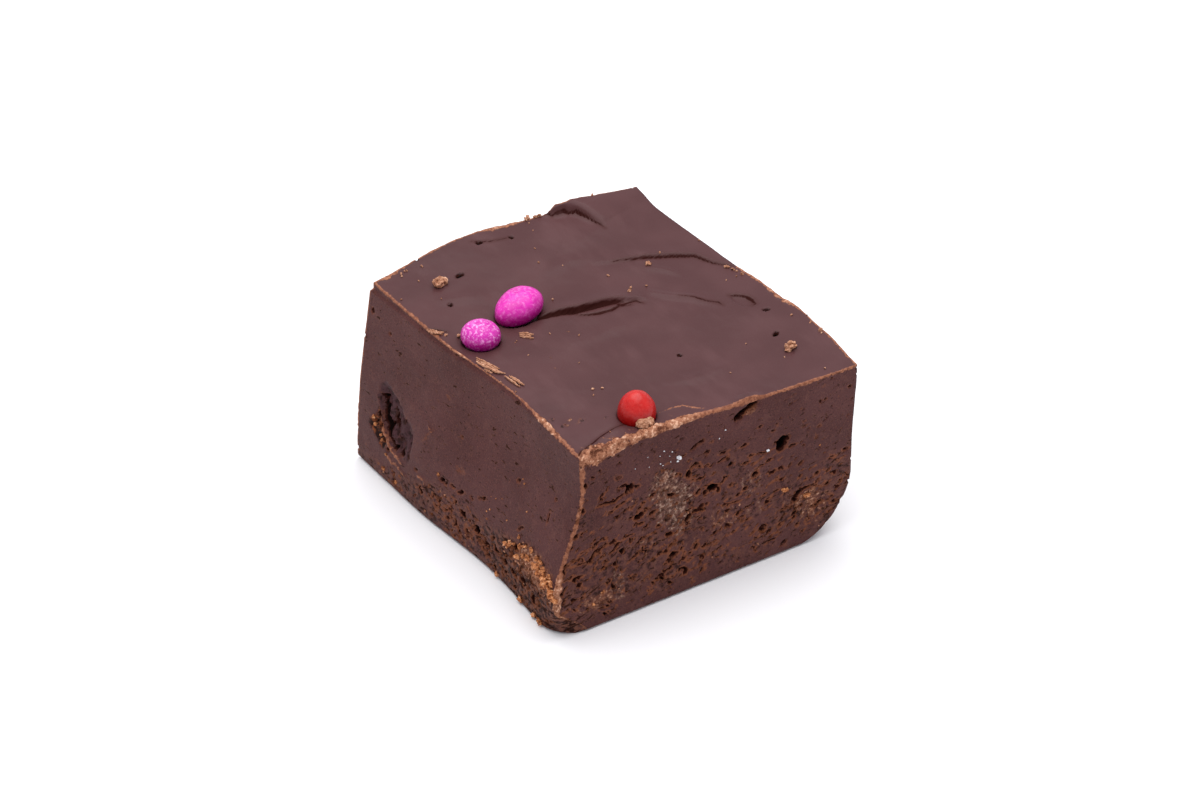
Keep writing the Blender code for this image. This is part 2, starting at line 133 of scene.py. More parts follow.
# Pits of the porous face: x, z, half length, half height, depth, and tilt in degrees
FRONT_PITS = [
    (8.9, 13.85, 0.60, 0.95, 1.9, -20), (9.55, 14.4, 0.26, 0.34, 0.7, 0),
    (-8.75, 14.85, 0.62, 0.34, 1.5, 28), (-7.8, 14.7, 0.30, 0.18, 0.4, 0),
    (-10.0, 13.4, 0.90, 0.13, 0.4, 15), (-10.0, 16.6, 0.38, 0.24, 0.2, 0),
    (-7.8, 11.2, 0.60, 0.32, 0.9, 10), (-7.6, 10.2, 0.30, 0.18, 0.5, 0), (-8.2, 10.4, 0.26, 0.16, 0.4, 0),
    (-2.0, 9.0, 0.36, 0.18, 0.7, 30), (-1.0, 9.3, 0.50, 0.26, 1.0, 0), (-0.4, 9.1, 0.26, 0.16, 0.5, -20),
    (-1.9, 14.0, 0.28, 0.46, 0.8, 0), (-1.5, 14.7, 0.30, 0.14, 0.5, 20), (-0.7, 13.0, 0.40, 0.14, 0.5, 0),
    (-0.6, 14.5, 0.25, 0.13, 0.4, 0), (0.2, 14.3, 0.30, 0.13, 0.4, 0), (-0.3, 17.3, 0.34, 0.20, 0.7, 30),
    (-6.0, 13.1, 0.50, 0.12, 0.3, 30), (-5.6, 9.2, 0.25, 0.18, 0.4, 0), (-4.4, 7.7, 0.42, 0.26, 0.5, 0),
    (0.8, 11.4, 0.72, 0.36, 0.9, 0), (-0.1, 11.1, 0.24, 0.34, 0.6, 0), (1.5, 10.9, 0.20, 0.34, 0.6, 0),
    (2.1, 15.1, 0.45, 0.14, 0.4, 5), (4.5, 15.2, 0.40, 0.15, 0.4, 10), (5.2, 13.7, 0.30, 0.16, 0.3, 0),
    (6.3, 16.9, 0.24, 0.14, 0.4, 20), (7.8, 15.8, 0.20, 0.13, 0.4, 0), (11.5, 15.1, 0.25, 0.11, 0.3, 0),
    (13.3, 14.4, 0.20, 0.11, 0.3, 0), (14.0, 17.5, 0.18, 0.12, 0.3, 0), (7.9, 10.8, 0.42, 0.20, 0.5, 10),
    (8.8, 10.9, 0.34, 0.18, 0.5, 5), (4.6, 9.9, 0.30, 0.20, 0.5, 0), (5.8, 11.2, 0.34, 0.20, 0.5, 0),
    (-11.1, 8.3, 0.40, 0.18, 0.5, 15), (-12.3, 6.8, 0.36, 0.16, 0.4, 20),
    (-14.9, 4.3, 0.30, 0.18, 0.4, 0), (-10.5, 9.0, 0.30, 0.16, 0.4, 10), (-3.8, 5.0, 0.50, 0.22, 0.6, 10),
    (-4.9, 5.8, 0.34, 0.18, 0.5, 0), (-2.8, 4.1, 0.34, 0.16, 0.4, 0), (-2.1, 4.5, 0.30, 0.18, 0.5, 10),
    (-4.2, 2.6, 0.30, 0.15, 0.4, 0), (-14.3, 14.4, 0.22, 0.30, 0.5, 0), (-15.0, 13.5, 0.18, 0.30, 0.5, 0),
    (16.9, 18.0, 0.22, 0.18, 0.4, 0), (-13.9, 17.2, 0.24, 0.28, 0.5, 0),
    (-13.0, 17.8, 0.26, 0.18, 0.3, 0), (4.0, 18.75, 0.32, 0.34, 1.2, 20),
    (12.0, 5.9, 0.40, 0.22, 0.5, 20), (10.6, 3.9, 0.30, 0.20, 0.5, 0), (10.9, 2.9, 0.26, 0.18, 0.4, 0),
]
# Tears of the porous face: points (x, z), half width and depth
FRONT_TEARS = [
    ([(-16.4, 8.3), (-15.2, 8.3), (-13.8, 8.2), (-13.2, 9.1), (-11.7, 9.3), (-10.8, 9.1)], 0.14, 0.40),
    ([(-16.0, 9.1), (-14.5, 8.8)], 0.11, 0.3), ([(-13.6, 9.8), (-12.6, 10.1), (-11.7, 10.3)], 0.12, 0.35),
    ([(-17.0, 7.05), (-14.3, 6.7)], 0.10, 0.2), ([(-9.9, 9.3), (-8.5, 9.4)], 0.10, 0.2),
    ([(-12.8, 14.2), (-11.6, 14.2), (-10.6, 14.0), (-10.1, 14.3), (-9.2, 14.5)], 0.16, 0.5),
    ([(-1.6, 16.6), (-0.4, 17.3)], 0.15, 0.6), ([(1.3, 14.1), (2.7, 14.5)], 0.12, 0.35),
    ([(5.8, 13.7), (7.0, 13.4), (7.9, 13.55)], 0.11, 0.4), ([(7.4, 9.6), (9.25, 9.5)], 0.10, 0.3),
    ([(1.7, 8.8), (4.0, 8.6)], 0.11, 0.35), ([(-0.7, 4.6), (0.4, 4.65)], 0.12, 0.35),
    ([(3.6, 18.3), (3.8, 18.8), (4.5, 19.25), (5.3, 19.6), (6.2, 19.75)], 0.34, 1.1),
    ([(9.9, 5.4), (10.7, 6.4), (11.4, 7.2), (12.5, 7.3), (13.9, 6.6)], 0.15, 0.35),
    ([(-6.9, 2.6), (-5.2, 3.4), (-4.2, 3.5)], 0.12, 0.3),
    ([(-9.4, 6.2), (-8.0, 6.9), (-7.0, 6.8)], 0.12, 0.3),
]

# Rough patches of the porous face: x, z, half length, half height, how tan they are, how frosted
FRONT_PATCHES = [
    (-4.7, 13.8, 1.8, 1.9, 0.35, 0.80), (-3.8, 11.4, 2.3, 2.4, 0.20, 0.95),
    (-3.2, 8.9, 1.8, 1.6, 0.20, 0.70), (5.2, 19.2, 0.8, 0.5, 0.90, 0.00),
    (5.4, 10.5, 1.4, 1.6, 0.30, 0.55), (-13.1, 3.2, 2.2, 1.0, 0.55, 0.35),
    (-10.5, 4.0, 1.0, 1.9, 0.30, 0.60), (-7.1, 3.5, 0.9, 0.8, 0.25, 0.20),
    (2.0, 7.2, 2.2, 1.5, 0.40, 0.40), (6.0, 7.0, 2.0, 1.3, 0.15, 0.35), (-7.6, 7.2, 2.4, 1.4, 0.30, 0.25),
    (12.7, 4.6, 2.4, 2.1, 0.50, 0.25), (-1.6, 6.4, 2.0, 1.3, 0.25, 0.20),
    (0.9, 10.9, 1.3, 0.9, 0.30, 0.15), (9.4, 5.8, 1.4, 1.0, 0.20, 0.30),
]
# The torn flake at the lower right: its tan edge, and the middle and half sizes of the dent it left
CRESCENT = [(10.9, 5.3), (11.5, 6.0), (12.2, 6.5), (12.9, 6.5)]
CRESCENT_DENT = (12.7, 4.6, 2.6, 2.3)
# Middle and reach, along X, of the bulge of the skin above the slot of the porous face
SLOT_BULGE_AT = (5.3, 2.2)

# Pits of the smooth face: y, z, then as above
LEFT_PITS = [
    (2.7, 6.5, 0.50, 0.24, 0.6, -20), (1.0, 6.7, 0.35, 0.20, 0.5, 0), (-0.3, 6.7, 0.60, 0.20, 0.6, -30),
    (-3.7, 7.9, 0.60, 0.14, 0.4, -30), (-2.2, 7.0, 0.30, 0.18, 0.4, 0), (4.0, 4.0, 0.30, 0.20, 0.5, 0),
    (3.0, 3.7, 0.30, 0.20, 0.5, 0), (-1.0, 4.3, 0.40, 0.36, 0.8, 0), (0.2, 2.7, 0.20, 0.50, 0.5, 0),
    (-3.3, 3.9, 0.62, 0.50, 1.0, 0), (-2.1, 4.2, 0.26, 0.20, 0.5, 0), (-12.5, 3.2, 0.50, 0.50, 0.8, 0),
    (-4.5, 2.0, 0.40, 0.26, 0.5, 0), (-8.3, 12.4, 0.26, 0.20, 0.3, 0), (-14.6, 13.8, 0.20, 0.18, 0.3, 0),
    (-14.4, 11.8, 0.14, 0.50, 0.3, 0), (-10.7, 8.5, 0.60, 0.14, 0.3, -40), (2.2, 6.4, 0.26, 0.20, 0.5, 0),
    (4.0, 15.5, 0.24, 0.20, 0.15, 0), (1.1, 12.4, 0.24, 0.20, 0.2, 0), (14.4, 17.4, 0.22, 0.20, 0.3, 0),
    (17.7, 18.4, 0.24, 0.34, 0.4, 0), (6.2, 3.3, 0.34, 0.50, 0.5, 0), (-6.8, 3.6, 0.34, 0.40, 0.5, 0),
    (-8.6, 3.2, 0.34, 0.44, 0.6, 0), (-10.2, 3.0, 0.30, 0.40, 0.6, 0), (-14.6, 2.4, 0.36, 0.50, 0.6, 0),
    (5.8, 10.2, 0.16, 0.90, 0.05, 35), (0.2, 9.0, 0.60, 0.30, 0.10, 0),
]
# The hollow of the smooth face and the small pocket beside it, both coloured dark with painted shade in the
# finish: their outlines (y, z)
HOLLOW = [
    (13.8, 11.9), (14.9, 11.2), (15.3, 9.6), (14.6, 8.6), (13.7, 7.1), (12.8, 6.1), (11.9, 5.0),
    (10.6, 5.0), (8.7, 5.2), (8.2, 7.5), (8.5, 9.0), (9.6, 9.9), (10.7, 10.5), (11.6, 10.9), (13.1, 11.7),
]
POCKET = [
    (14.7, 8.6), (15.4, 7.5), (16.1, 5.9), (15.3, 5.1), (14.3, 4.4), (13.7, 3.9), (12.7, 4.9),
    (13.3, 6.1), (13.9, 7.2),
]
# Small holes at the hollow's edge and in the pocket beside it, coloured dark with painted shade in the finish
HOLLOW_PITS = [
    (11.7, 10.6, 0.24, 0.44, 0.6, 30), (10.9, 10.1, 0.20, 0.36, 0.5, 30), (9.8, 9.5, 0.20, 0.44, 0.5, 20),
    (9.0, 8.3, 0.18, 0.36, 0.5, 10), (8.8, 5.9, 0.30, 0.44, 0.7, 0), (14.4, 9.9, 0.28, 0.30, 0.8, 0),
    (12.7, 7.3, 0.26, 0.80, 0.8, 35), (10.1, 5.4, 0.44, 0.34, 0.7, 0), (11.3, 5.4, 0.30, 0.26, 0.6, 0),
    (14.6, 7.6, 0.34, 0.50, 1.1, 20), (14.0, 6.8, 0.30, 0.50, 1.1, 20), (14.5, 6.1, 0.28, 0.34, 0.9, 0),
    (13.5, 5.3, 0.34, 0.44, 1.1, 20), (12.6, 4.4, 0.34, 0.30, 0.8, 0), (15.4, 6.4, 0.24, 0.34, 0.8, 0),
]
# Tears down the hollow: points (y, z), half width and depth
HOLLOW_TEARS = [
    ([(14.7, 10.3), (14.1, 8.8), (13.2, 7.3), (12.4, 6.0), (11.6, 5.4)], 0.26, 0.6),
    ([(12.0, 10.8), (11.1, 9.6), (10.8, 8.4)], 0.16, 0.4), ([(9.4, 9.0), (8.9, 7.4), (9.0, 5.9)], 0.18, 0.5),
    ([(12.9, 9.6), (12.1, 8.2), (11.6, 6.9), (10.6, 6.0)], 0.15, 0.35),
]
# Tan ridges of the smooth face: points (y, z) and half width
LEFT_RIDGES = [
    ([(14.2, 7.6), (13.6, 6.6), (13.1, 6.1), (12.4, 5.3), (11.5, 4.8), (10.4, 4.6), (9.6, 4.4)], 0.20),
    ([(12.3, 3.6), (11.7, 3.4), (10.8, 3.6), (10.1, 3.4), (9.3, 3.2)], 0.16),
    ([(6.9, 4.6), (6.1, 4.8), (5.6, 4.6), (5.7, 4.0), (6.3, 3.2)], 0.14), ([(6.1, 11.1), (5.3, 10.6)], 0.08),
]
# Height up to which the smooth face crumbles: (y, z) along it
CRUMBLE_LINE = [
    (-18.8, 6.0), (-17.6, 7.0), (-16.2, 7.6), (-14.6, 8.2), (-12.6, 8.6), (-9.6, 7.6), (-6.2, 6.6),
    (-1.6, 7.0), (2.6, 6.6), (6.9, 5.2), (10.0, 4.0), (13.2, 3.0), (20.0, 1.8),
]
# Middle (y, z) and half sizes of the patch near the front edge that broke into chunks
CHUNKS = (-14.4, 6.0, 4.8, 2.4)
# Lumps that stick out of the smooth face, most of them in that patch: y, z, half length, half height
LEFT_LUMPS = [
    (-9.0, 5.5, 0.32, 0.26), (-9.4, 6.1, 0.26, 0.22), (-10.8, 7.6, 0.15, 0.32), (-11.5, 6.9, 0.32, 0.18),
    (-12.2, 7.4, 0.22, 0.18), (-11.2, 5.7, 0.20, 0.52), (-13.2, 6.6, 0.26, 0.32),
    (-13.4, 7.7, 0.34, 0.22), (-14.5, 7.4, 0.30, 0.28), (-14.9, 6.8, 0.34, 0.28),
    (-14.2, 6.2, 0.20, 0.15), (-15.4, 6.2, 0.28, 0.20), (-16.2, 6.6, 0.38, 0.30),
    (-17.0, 6.2, 0.44, 0.36), (-18.1, 5.6, 0.36, 0.32), (-16.4, 5.5, 0.28, 0.22),
    (-12.1, 6.2, 0.20, 0.26), (-10.2, 6.4, 0.22, 0.16), (-15.4, 7.5, 0.20, 0.26),
    (-17.3, 7.0, 0.24, 0.22), (-17.8, 6.5, 0.30, 0.28), (-18.6, 5.2, 0.32, 0.28),
    (-15.9, 7.1, 0.26, 0.22), (13.3, 1.6, 0.20, 0.16), (11.0, 1.3, 0.18, 0.14), (-11.9, 0.5, 0.30, 0.26),
    (-14.7, 0.6, 0.26, 0.24), (-15.8, 0.5, 0.34, 0.30), (-7.0, 0.6, 0.18, 0.16), (3.3, 6.8, 0.14, 0.14),
    (15.5, 6.9, 0.16, 0.15), (15.1, 6.2, 0.15, 0.14), (14.0, 5.5, 0.16, 0.13), (13.8, 5.0, 0.16, 0.14),
    (13.4, 6.4, 0.14, 0.20), (12.6, 5.6, 0.16, 0.14), (12.9, 3.7, 0.14, 0.12),
]

# Bubbles and small holes of the skin: x, y, half length, half width, depth, tilt
SKIN_PITS = [
    (15.7, -7.2, 0.40, 0.22, 0.6, -20), (14.0, -11.1, 0.50, 0.28, 0.6, 30),
    (-7.6, 14.5, 0.54, 0.28, 0.5, 10), (-2.9, 18.0, 0.38, 0.28, 0.5, 0), (0.5, 17.1, 0.28, 0.25, 0.4, 0),
    (-11.0, 10.9, 0.30, 0.26, 0.4, 0), (3.8, -8.9, 0.28, 0.26, 0.4, 0),
]
# Bruised spots of the skin, given the same way
SKIN_SPOTS = [
    (-7.5, -2.3, 0.18, 0.34, 0.05, 20), (-8.0, -3.9, 0.16, 0.30, 0.05, 20),
    (-3.4, 0.8, 0.34, 0.20, 0.05, 0), (-10.6, -12.7, 0.80, 0.34, 0.05, 10),
    (-12.5, -12.4, 0.80, 0.30, 0.05, -10), (-13.0, -10.9, 0.30, 0.22, 0.05, 0),
    (-8.4, -13.6, 0.40, 0.22, 0.05, 0), (-11.6, -11.9, 0.50, 0.24, 0.05, 0),
]
# The dimple near the pan side: its outline
DIMPLE = [
    (13.7, -3.4), (14.2, -3.1), (14.7, -3.6), (15.35, -4.3), (15.5, -5.0), (15.3, -5.8), (14.8, -5.9),
    (14.1, -5.7), (13.75, -4.9), (13.6, -4.0),
]

# Widths of the torn rims, as (place, width): below the front edge and above it, along X, down the near
# corner, along Z, and at the left edge, along Y
BURR_WIDTH = [
    (-18, 0.8), (-15, 1.2), (-12, 1.35), (-10.5, 1.15), (-9, 0.75), (-6, 0.6), (-3, 0.5), (-1, 0.38),
    (2, 0.30), (5, 0.42), (7, 0.27), (18, 0.24),
]
TOP_BURR_WIDTH = [(-18, 0.6), (-11, 0.6), (-9, 0.4), (-2, 0.35), (0, 0.15), (18, 0.1)]
SIDE_WIDTH = [(0, -0.5), (3, -0.3), (4.2, 0.7), (7, 0.75), (9, 0.45), (14, 0.35), (17, 0.5), (21, 0.8)]
LEFT_RIM = [
    (-20, 0.5), (-15, 0.3), (-13, 0.5), (-10, 0.45), (-8.5, 0.22), (2, 0.22), (5, 0.4), (9, 0.45), (20, 0.35),
]
# How crumbly the left edge is, from 0, a smooth line, to 1
LEFT_CRUMBLE = [
    (-16, 0.1), (-13.4, 0.3), (-12.8, 1), (-10.2, 1), (-9.2, 0.1), (1.5, 0.15), (3, 0.5), (4.8, 0.4),
    (6, 0.1), (20, 0),
]

# Beads: middle (x, y), its height above the skin, half sizes, turn, tilt, how they widen along X and
# upwards, and their sugar shell
BEADS = {
    "bead_magenta_large": ((-5.9, 6.1), 0.75, (2.90, 2.12, 1.70), 14, -6, (0.16, 0.0), "magenta_sugar"),
    "bead_magenta_small": ((-11.7, 4.1), 0.62, (2.05, 1.90, 1.62), -30, 4, (0.05, 0.0), "dotted_sugar"),
    "bead_red": ((-5.6, -14.9), 0.52, (1.93, 1.93, 2.15), 0, 0, (0.0, -0.12), "red_sugar"),
}
# Depth of the dimples that the beads sit in
SEAT_DEPTH = 0.9

# Loose crumbs on the skin: x, y, length, width, turn, and how many lumps each is stuck together from
SKIN_CRUMBS = [
    (-10.1, 14.4, 1.6, 1.0, 20, 11), (13.8, -14.1, 1.5, 0.8, 10, 10), (-5.9, -17.0, 1.5, 1.1, 15, 11),
    (10.2, 6.1, 0.9, 0.6, 60, 6), (6.0, 3.1, 1.4, 0.4, 30, 6), (-13.3, 5.8, 0.6, 0.45, 0, 3),
    (-10.1, 17.9, 0.5, 0.3, 0, 2), (17.0, 6.7, 0.4, 0.3, 0, 2), (18.1, -11.5, 0.5, 0.3, 0, 2),
    (18.0, -13.4, 0.7, 0.4, 80, 3), (17.2, -9.4, 0.4, 0.3, 0, 2), (16.7, 1.2, 0.7, 0.4, -40, 4),
    (17.0, 0.2, 0.8, 0.4, -60, 4), (17.2, -0.9, 0.6, 0.35, -60, 3), (3.7, 19.2, 0.9, 0.5, 0, 5),
    (4.9, 19.1, 0.9, 0.5, -10, 5), (-12.6, 17.8, 0.7, 0.4, 30, 3), (-11.8, 18.2, 0.5, 0.3, 0, 2),
    (-8.9, 1.9, 0.4, 0.2, 50, 2), (-13.6, -5.3, 0.3, 0.2, 60, 2), (-13.9, -2.9, 0.5, 0.2, 90, 2),
    (-15.2, 8.2, 0.6, 0.35, -40, 3), (-14.6, 7.3, 0.6, 0.35, -40, 3), (-14.1, 6.7, 0.5, 0.3, -40, 2),
    (11.4, 18.4, 0.5, 0.3, 0, 2), (-14.9, 14.4, 0.4, 0.2, 0, 1), (-11.4, 12.2, 0.3, 0.2, 0, 1),
]
# The crumbs stay between these places along X and along Y
CRUMB_REACH_X, CRUMB_REACH_Y = (-17.0, 18.3), (-19.0, 19.6)
# Specks, each one tiny crumb: x, y
SKIN_SPECKS = [
    (-6.0, -9.4), (-7.4, -9.9), (-9.6, -16.1), (-12.1, -17.2), (5.4, 6.4), (7.8, 2.95), (-7.6, 4.85),
    (-5.2, 1.3), (12.2, 6.9), (15.2, -0.8), (16.5, -0.8), (3.1, 17.0), (3.5, 18.4), (-11.6, 16.0),
    (10.5, -10.9), (12.3, -15.05), (14.6, -18.8), (-6.9, -9.0), (-5.5, -4.5), (-9.1, -0.7), (0.5, 12.0),
    (2.3, 10.2), (-2.9, -0.6), (6.3, -14.1), (-1.8, 5.9), (1.5, 14.2), (-3.0, 8.5),
]
# Shavings: (x, y) from end to end, width, and how many slivers lie side by side
SHAVINGS = [
    ([(-14.1, 1.7), (-13.8, 0.5), (-13.5, -0.3), (-13.3, -1.2), (-12.7, -2.1)], 0.44, 4),
    ([(-14.0, -0.3), (-13.8, -1.0), (-13.6, -1.8)], 0.26, 2),
    ([(-12.9, -2.4), (-12.8, -3.3), (-12.7, -4.3), (-12.6, -5.0)], 0.40, 3),
    ([(-8.2, 2.9), (-7.4, 2.2), (-6.8, 1.5)], 0.42, 3),
    ([(-15.3, 8.4), (-14.9, 7.6), (-14.2, 6.9)], 0.34, 3),
]
# Crumbs stuck on the porous face, and its sugar crystals and dust: x, z and size
FRONT_CRUMBS = [
    (9.2, 8.0, 0.62), (12.1, 6.3, 0.50), (13.4, 12.0, 0.18), (-12.5, 4.0, 0.3), (-13.7, 3.0, 0.35),
]
SUGAR_CRYSTALS = [
    (-3.0, 16.4, 0.48), (-3.1, 16.0, 0.20), (7.2, 13.7, 0.26), (-4.6, 17.7, 0.12), (-3.7, 17.3, 0.13),
    (-3.9, 16.2, 0.10), (-6.5, 17.7, 0.10), (-4.8, 16.1, 0.10), (-5.1, 16.4, 0.12), (-6.4, 16.5, 0.09),
    (-5.1, 17.3, 0.09), (-4.0, 16.9, 0.08), (2.4, 17.8, 0.14), (1.7, 17.0, 0.10), (-8.0, 16.9, 0.08),
]
# Specks of the smooth face: y, z and size
LEFT_SPECKS = [
    (-5.3, 7.5, 0.20), (-8.3, 8.0, 0.16), (-5.0, 6.2, 0.20), (-4.8, 7.0, 0.16), (-9.3, 12.6, 0.18),
    (-11.0, 10.5, 0.18), (-6.7, 9.5, 0.10), (-5.8, 9.0, 0.12), (-5.0, 8.8, 0.10), (-8.9, 12.9, 0.14),
]

# Crumbs strewn by rule: their finish, most of them on a square metre, radius of the smallest and of the
# largest, how much they gather in the crumbliest places, and the seed
STREWN_CRUMBS = {
    "dry_rim_crumbs": ("dry_crumbs", 1.6e6, 0.05 * MM, 0.19 * MM, 1.3, 3),
    "fresh_crumbs": ("fresh_crumbs", 0.6e6, 0.04 * MM, 0.14 * MM, 0.8, 8),
}

# Tones of the fudge: red, green and blue as a screen shows them
FUDGE_TONES = {
    # The third skin tone is partly smears and partly painted sheen
    "skin": (79, 49, 50), "worn skin": (86, 55, 56), "skin smears and painted sheen": (97, 66, 67),
    "cut": (75, 43, 42), "dull cut": (85, 51, 50), "dry cut": (97, 61, 56),
    # Grain of the cuts: lighter where it stands up, as painted highlight, darker where it sinks, as painted
    # shade
    "painted highlight on grain": (118, 76, 62), "painted shade in grain": (50, 23, 19),
    # The slit and gap tones are painted shade, in slits and between raised crags
    "torn line": (106, 63, 46), "slit": (42, 17, 9), "rough": (116, 73, 56), "gap": (46, 21, 14),
    # Tones of pores and pits: painted shade in them, near black in the deepest pits
    "painted shade in pores": (44, 20, 13), "pit wall in painted shade": (50, 18, 10), "hole": (14, 5, 3),
    "deep tan": (92, 52, 40), "tan": (142, 94, 71), "pale tan": (206, 160, 134),
    "thin frost": (114, 80, 67), "frost": (190, 158, 140),
    # The hollow and pocket tones are painted shade in those recesses; their ridge tones vary them
    "hollow": (34, 17, 15), "hollow ridge": (72, 46, 50),
    "pocket": (26, 10, 6), "pocket ridge": (126, 68, 38),
    # Crumbly places: the darkest tone partly painted shade on low bits, the palest partly painted highlight
    # on raised bits
    "dark crumb and painted shade": (112, 67, 50), "crumb": (166, 112, 86), "dried crumb and painted highlight": (220, 172, 144),
    "deep rim": (124, 74, 54), "rim": (168, 110, 82),
    # Painted shade beside and in the creases
    "painted shade beside creases": (66, 32, 28), "crease": (44, 13, 9),
    "skin lip": (62, 28, 24), "cut lip": (126, 72, 46),
}
# Tones of loose crumbs: in their dents, in the main, and where they are dry
CRUMB_TONES = {
    "dry_crumbs": ((124, 74, 50), (172, 118, 90), (216, 172, 146)),
    "pale_crumbs": ((150, 98, 72), (190, 138, 108), (226, 184, 156)),
    "fresh_crumbs": ((58, 30, 22), (98, 56, 42), (140, 92, 72)),
    "lump_crumbs": ((118, 64, 36), (194, 124, 76), (236, 190, 150)),
}
# Tones of the sugar shells: the deeper one for the lower flanks, as painted shade, the main one, and the pale
# one of mottles, which gather on the crown partly as painted highlight, and how mottled they are
SHELL_TONES = {
    "magenta_sugar": ((168, 4, 122), (228, 44, 180), (246, 138, 216), 0.55),
    "dotted_sugar": ((168, 6, 126), (222, 54, 182), (250, 172, 232), 0.9),
    "red_sugar": ((156, 6, 4), (200, 26, 22), (214, 74, 66), 0.35),
}
CRYSTAL_TONES = ((206, 204, 210), (242, 243, 246))

# Lines of the fine mesh along X, Y and Z, the step from one line that a face uses to the next, and how
# much closer together the lines are towards the left, the front and the top
LINES = (216, 216, 99)
FACE_STEPS = {"front": 1, "left": 1, "top": 1, "back": 3, "pan": 3, "base": 9}
CROWDING = (0.30, 0.30, -0.20)

# Where the photograph was taken from
VIEW_AZIMUTH, VIEW_ELEVATION = -34.0, 36.0
VIEW_DISTANCE, VIEW_LENS = 463.9, 135.0
VIEW_TARGET = (0.5, 0.65, 10.5)

# Table and studio light
TABLE_HALF = 3000
TABLE_COLOURS = ((0.93, 0.93, 0.945), (0.95, 0.95, 0.96))
ROOM_COLOUR, ROOM_STRENGTH = (0.94, 0.945, 1.0, 1.0), 0.70
LAMP_PLACE, LAMP_WIDTH = (60, 150, 900), 1300
LAMP_POWER, LAMP_COLOUR = 10.4, (1.0, 0.99, 0.98)


def mix(a, b, t):
    return a + (b - a) * t


def smooth(t):
    """0 up to 0, 1 from 1 on, smooth between."""
    t = np.clip(t, 0.0, 1.0)
    return t * t * (3.0 - 2.0 * t)


def hump(t, middle, reach):
    """1 at the middle, and down to 0 at the reach on both sides."""
    return np.cos(np.clip((t - middle) / reach, -1.0, 1.0) * math.pi / 2) ** 2


def along_table(t, table):
    """The value at t of a table of (place, value)."""
    return np.interp(t, *zip(*table))


def grain(x, y, z, length, seed=0.0, octaves=1):
    """Smooth noise from about -1 to 1, with lumps of the given length, at points in millimetres."""
    x, y, z = np.broadcast_arrays(x, y, z)
    points = zip(x.ravel() / length, y.ravel() / length, z.ravel() / length + 17.3 * seed)
    if octaves == 1:
        values = [noise.noise(p) for p in points]
    else:
        values = [noise.fractal(p, 1.0, 2.0, octaves) for p in points]
    return np.reshape(values, x.shape)


# The walls of the block, each a coordinate as a function of the other two

def across(x):
    return (x + HALF_WIDTH) / (2 * HALF_WIDTH)


def along(y):
    return (y + HALF_LENGTH) / (2 * HALF_LENGTH)


def rounding(z, inward, up):
    """How far a quarter ellipse draws a wall in at z, up to the height where it ends."""
    share = np.clip((up - z) / up, 0.0, 1.0)
    return inward * (1.0 - np.sqrt(1.0 - share**2))


def rim(z):
    """How far a wall is drawn in just under the skin."""
    return rounding(np.maximum(HEIGHT - z, 0.0), RIM_ROUND, RIM_ROUND)


def corner_round(y, z):
    """How far the near corner is rounded off, most at its foot."""
    radius = CORNER_ROUND * smooth((CORNER_ROUND_UP - z) / CORNER_ROUND_UP) + 0.2
    from_corner = y - mix(FRONT_BASE[0], FRONT_TOP[0], z / HEIGHT)
    return rounding(np.maximum(from_corner, 0.0), radius, radius)


def left_wall(y, z):
    t, w = along(y), z / HEIGHT
    kick = smooth((KICK_HEIGHT - z) / (KICK_HEIGHT - KICK_FOOT))
    lean = np.sin(np.clip(1.0 - w, 0.0, 1.0) * math.pi / 2)
    x = mix(mix(*LEFT_TOP, t), mix(*LEFT_BASE, t), mix(kick, lean, t))
    x = x + LEFT_HOLLOWING * hump(t, *LEFT_HOLLOWING_AT) + corner_round(y, z)
    return x + rounding(z, EDGE_ROUND, EDGE_ROUND)


def right_wall(y, z):
    top = np.interp(along(y), np.linspace(0.0, 1.0, len(PAN_TOP)), PAN_TOP)
    return top - PAN_LEAN * (1.0 - z / HEIGHT) - rounding(z, PAN_ROUND_ACROSS, PAN_ROUND_UP)


def front_wall(x, z):
    s, w = across(x), z / HEIGHT
    top = mix(*FRONT_TOP, s) + FRONT_HOLLOWING * hump(s, *FRONT_HOLLOWING_AT)
    y = mix(mix(*FRONT_BASE, s), top, w)
    return y + rounding(z, EDGE_ROUND, EDGE_ROUND)


def back_wall(x, z):
    s, w = across(x), z / HEIGHT
    y = mix(mix(*BACK_BASE, s), mix(*BACK_TOP, s), w) + BACK_BELLY * hump(s, *BACK_BELLY_AT)
    return y - rounding(z, EDGE_ROUND, EDGE_ROUND)


def along_line(x, y, points):
    """Signed distance from a line, positive on its left, and how far along it, from 0 to 1."""
    nearest = np.full(np.shape(x), np.inf)
    side, share = np.zeros(np.shape(x)), np.zeros(np.shape(x))
    line = [Vector(p) for p in points]
    lengths = [(b - a).length for a, b in zip(line, line[1:])]
    done = 0.0
    for a, b, length in zip(line, line[1:], lengths):
        ux, uy = (b - a) / length
        run = np.clip((x - a.x) * ux + (y - a.y) * uy, 0.0, length)
        gap_x, gap_y = x - a.x - run * ux, y - a.y - run * uy
        gap = np.hypot(gap_x, gap_y)
        closer = gap < nearest
        nearest = np.where(closer, gap, nearest)
        side = np.where(closer, np.where(ux * gap_y - uy * gap_x < 0.0, -1.0, 1.0), side)
        share = np.where(closer, (done + run) / sum(lengths), share)
        done += length
    return nearest * side, share


def fold_height(x, y, points, height, lip, step):
    """Height that a fold adds: a lip on one side of its line, and a trough on the other."""
    distance, share = along_line(x, y, points)
    fade = np.sin(np.pi * np.clip(share, 0.0, 1.0)) ** 0.6
    lip_side = 0.5 + 0.5 * np.tanh(distance / step)
    lip_part = FOLD_LIP * np.exp(-np.abs(distance) / lip) * lip_side
    trough_part = FOLD_TROUGH * np.exp(-np.abs(distance) / (0.5 * lip)) * (1.0 - lip_side)
    return height * fade * (lip_part - trough_part)


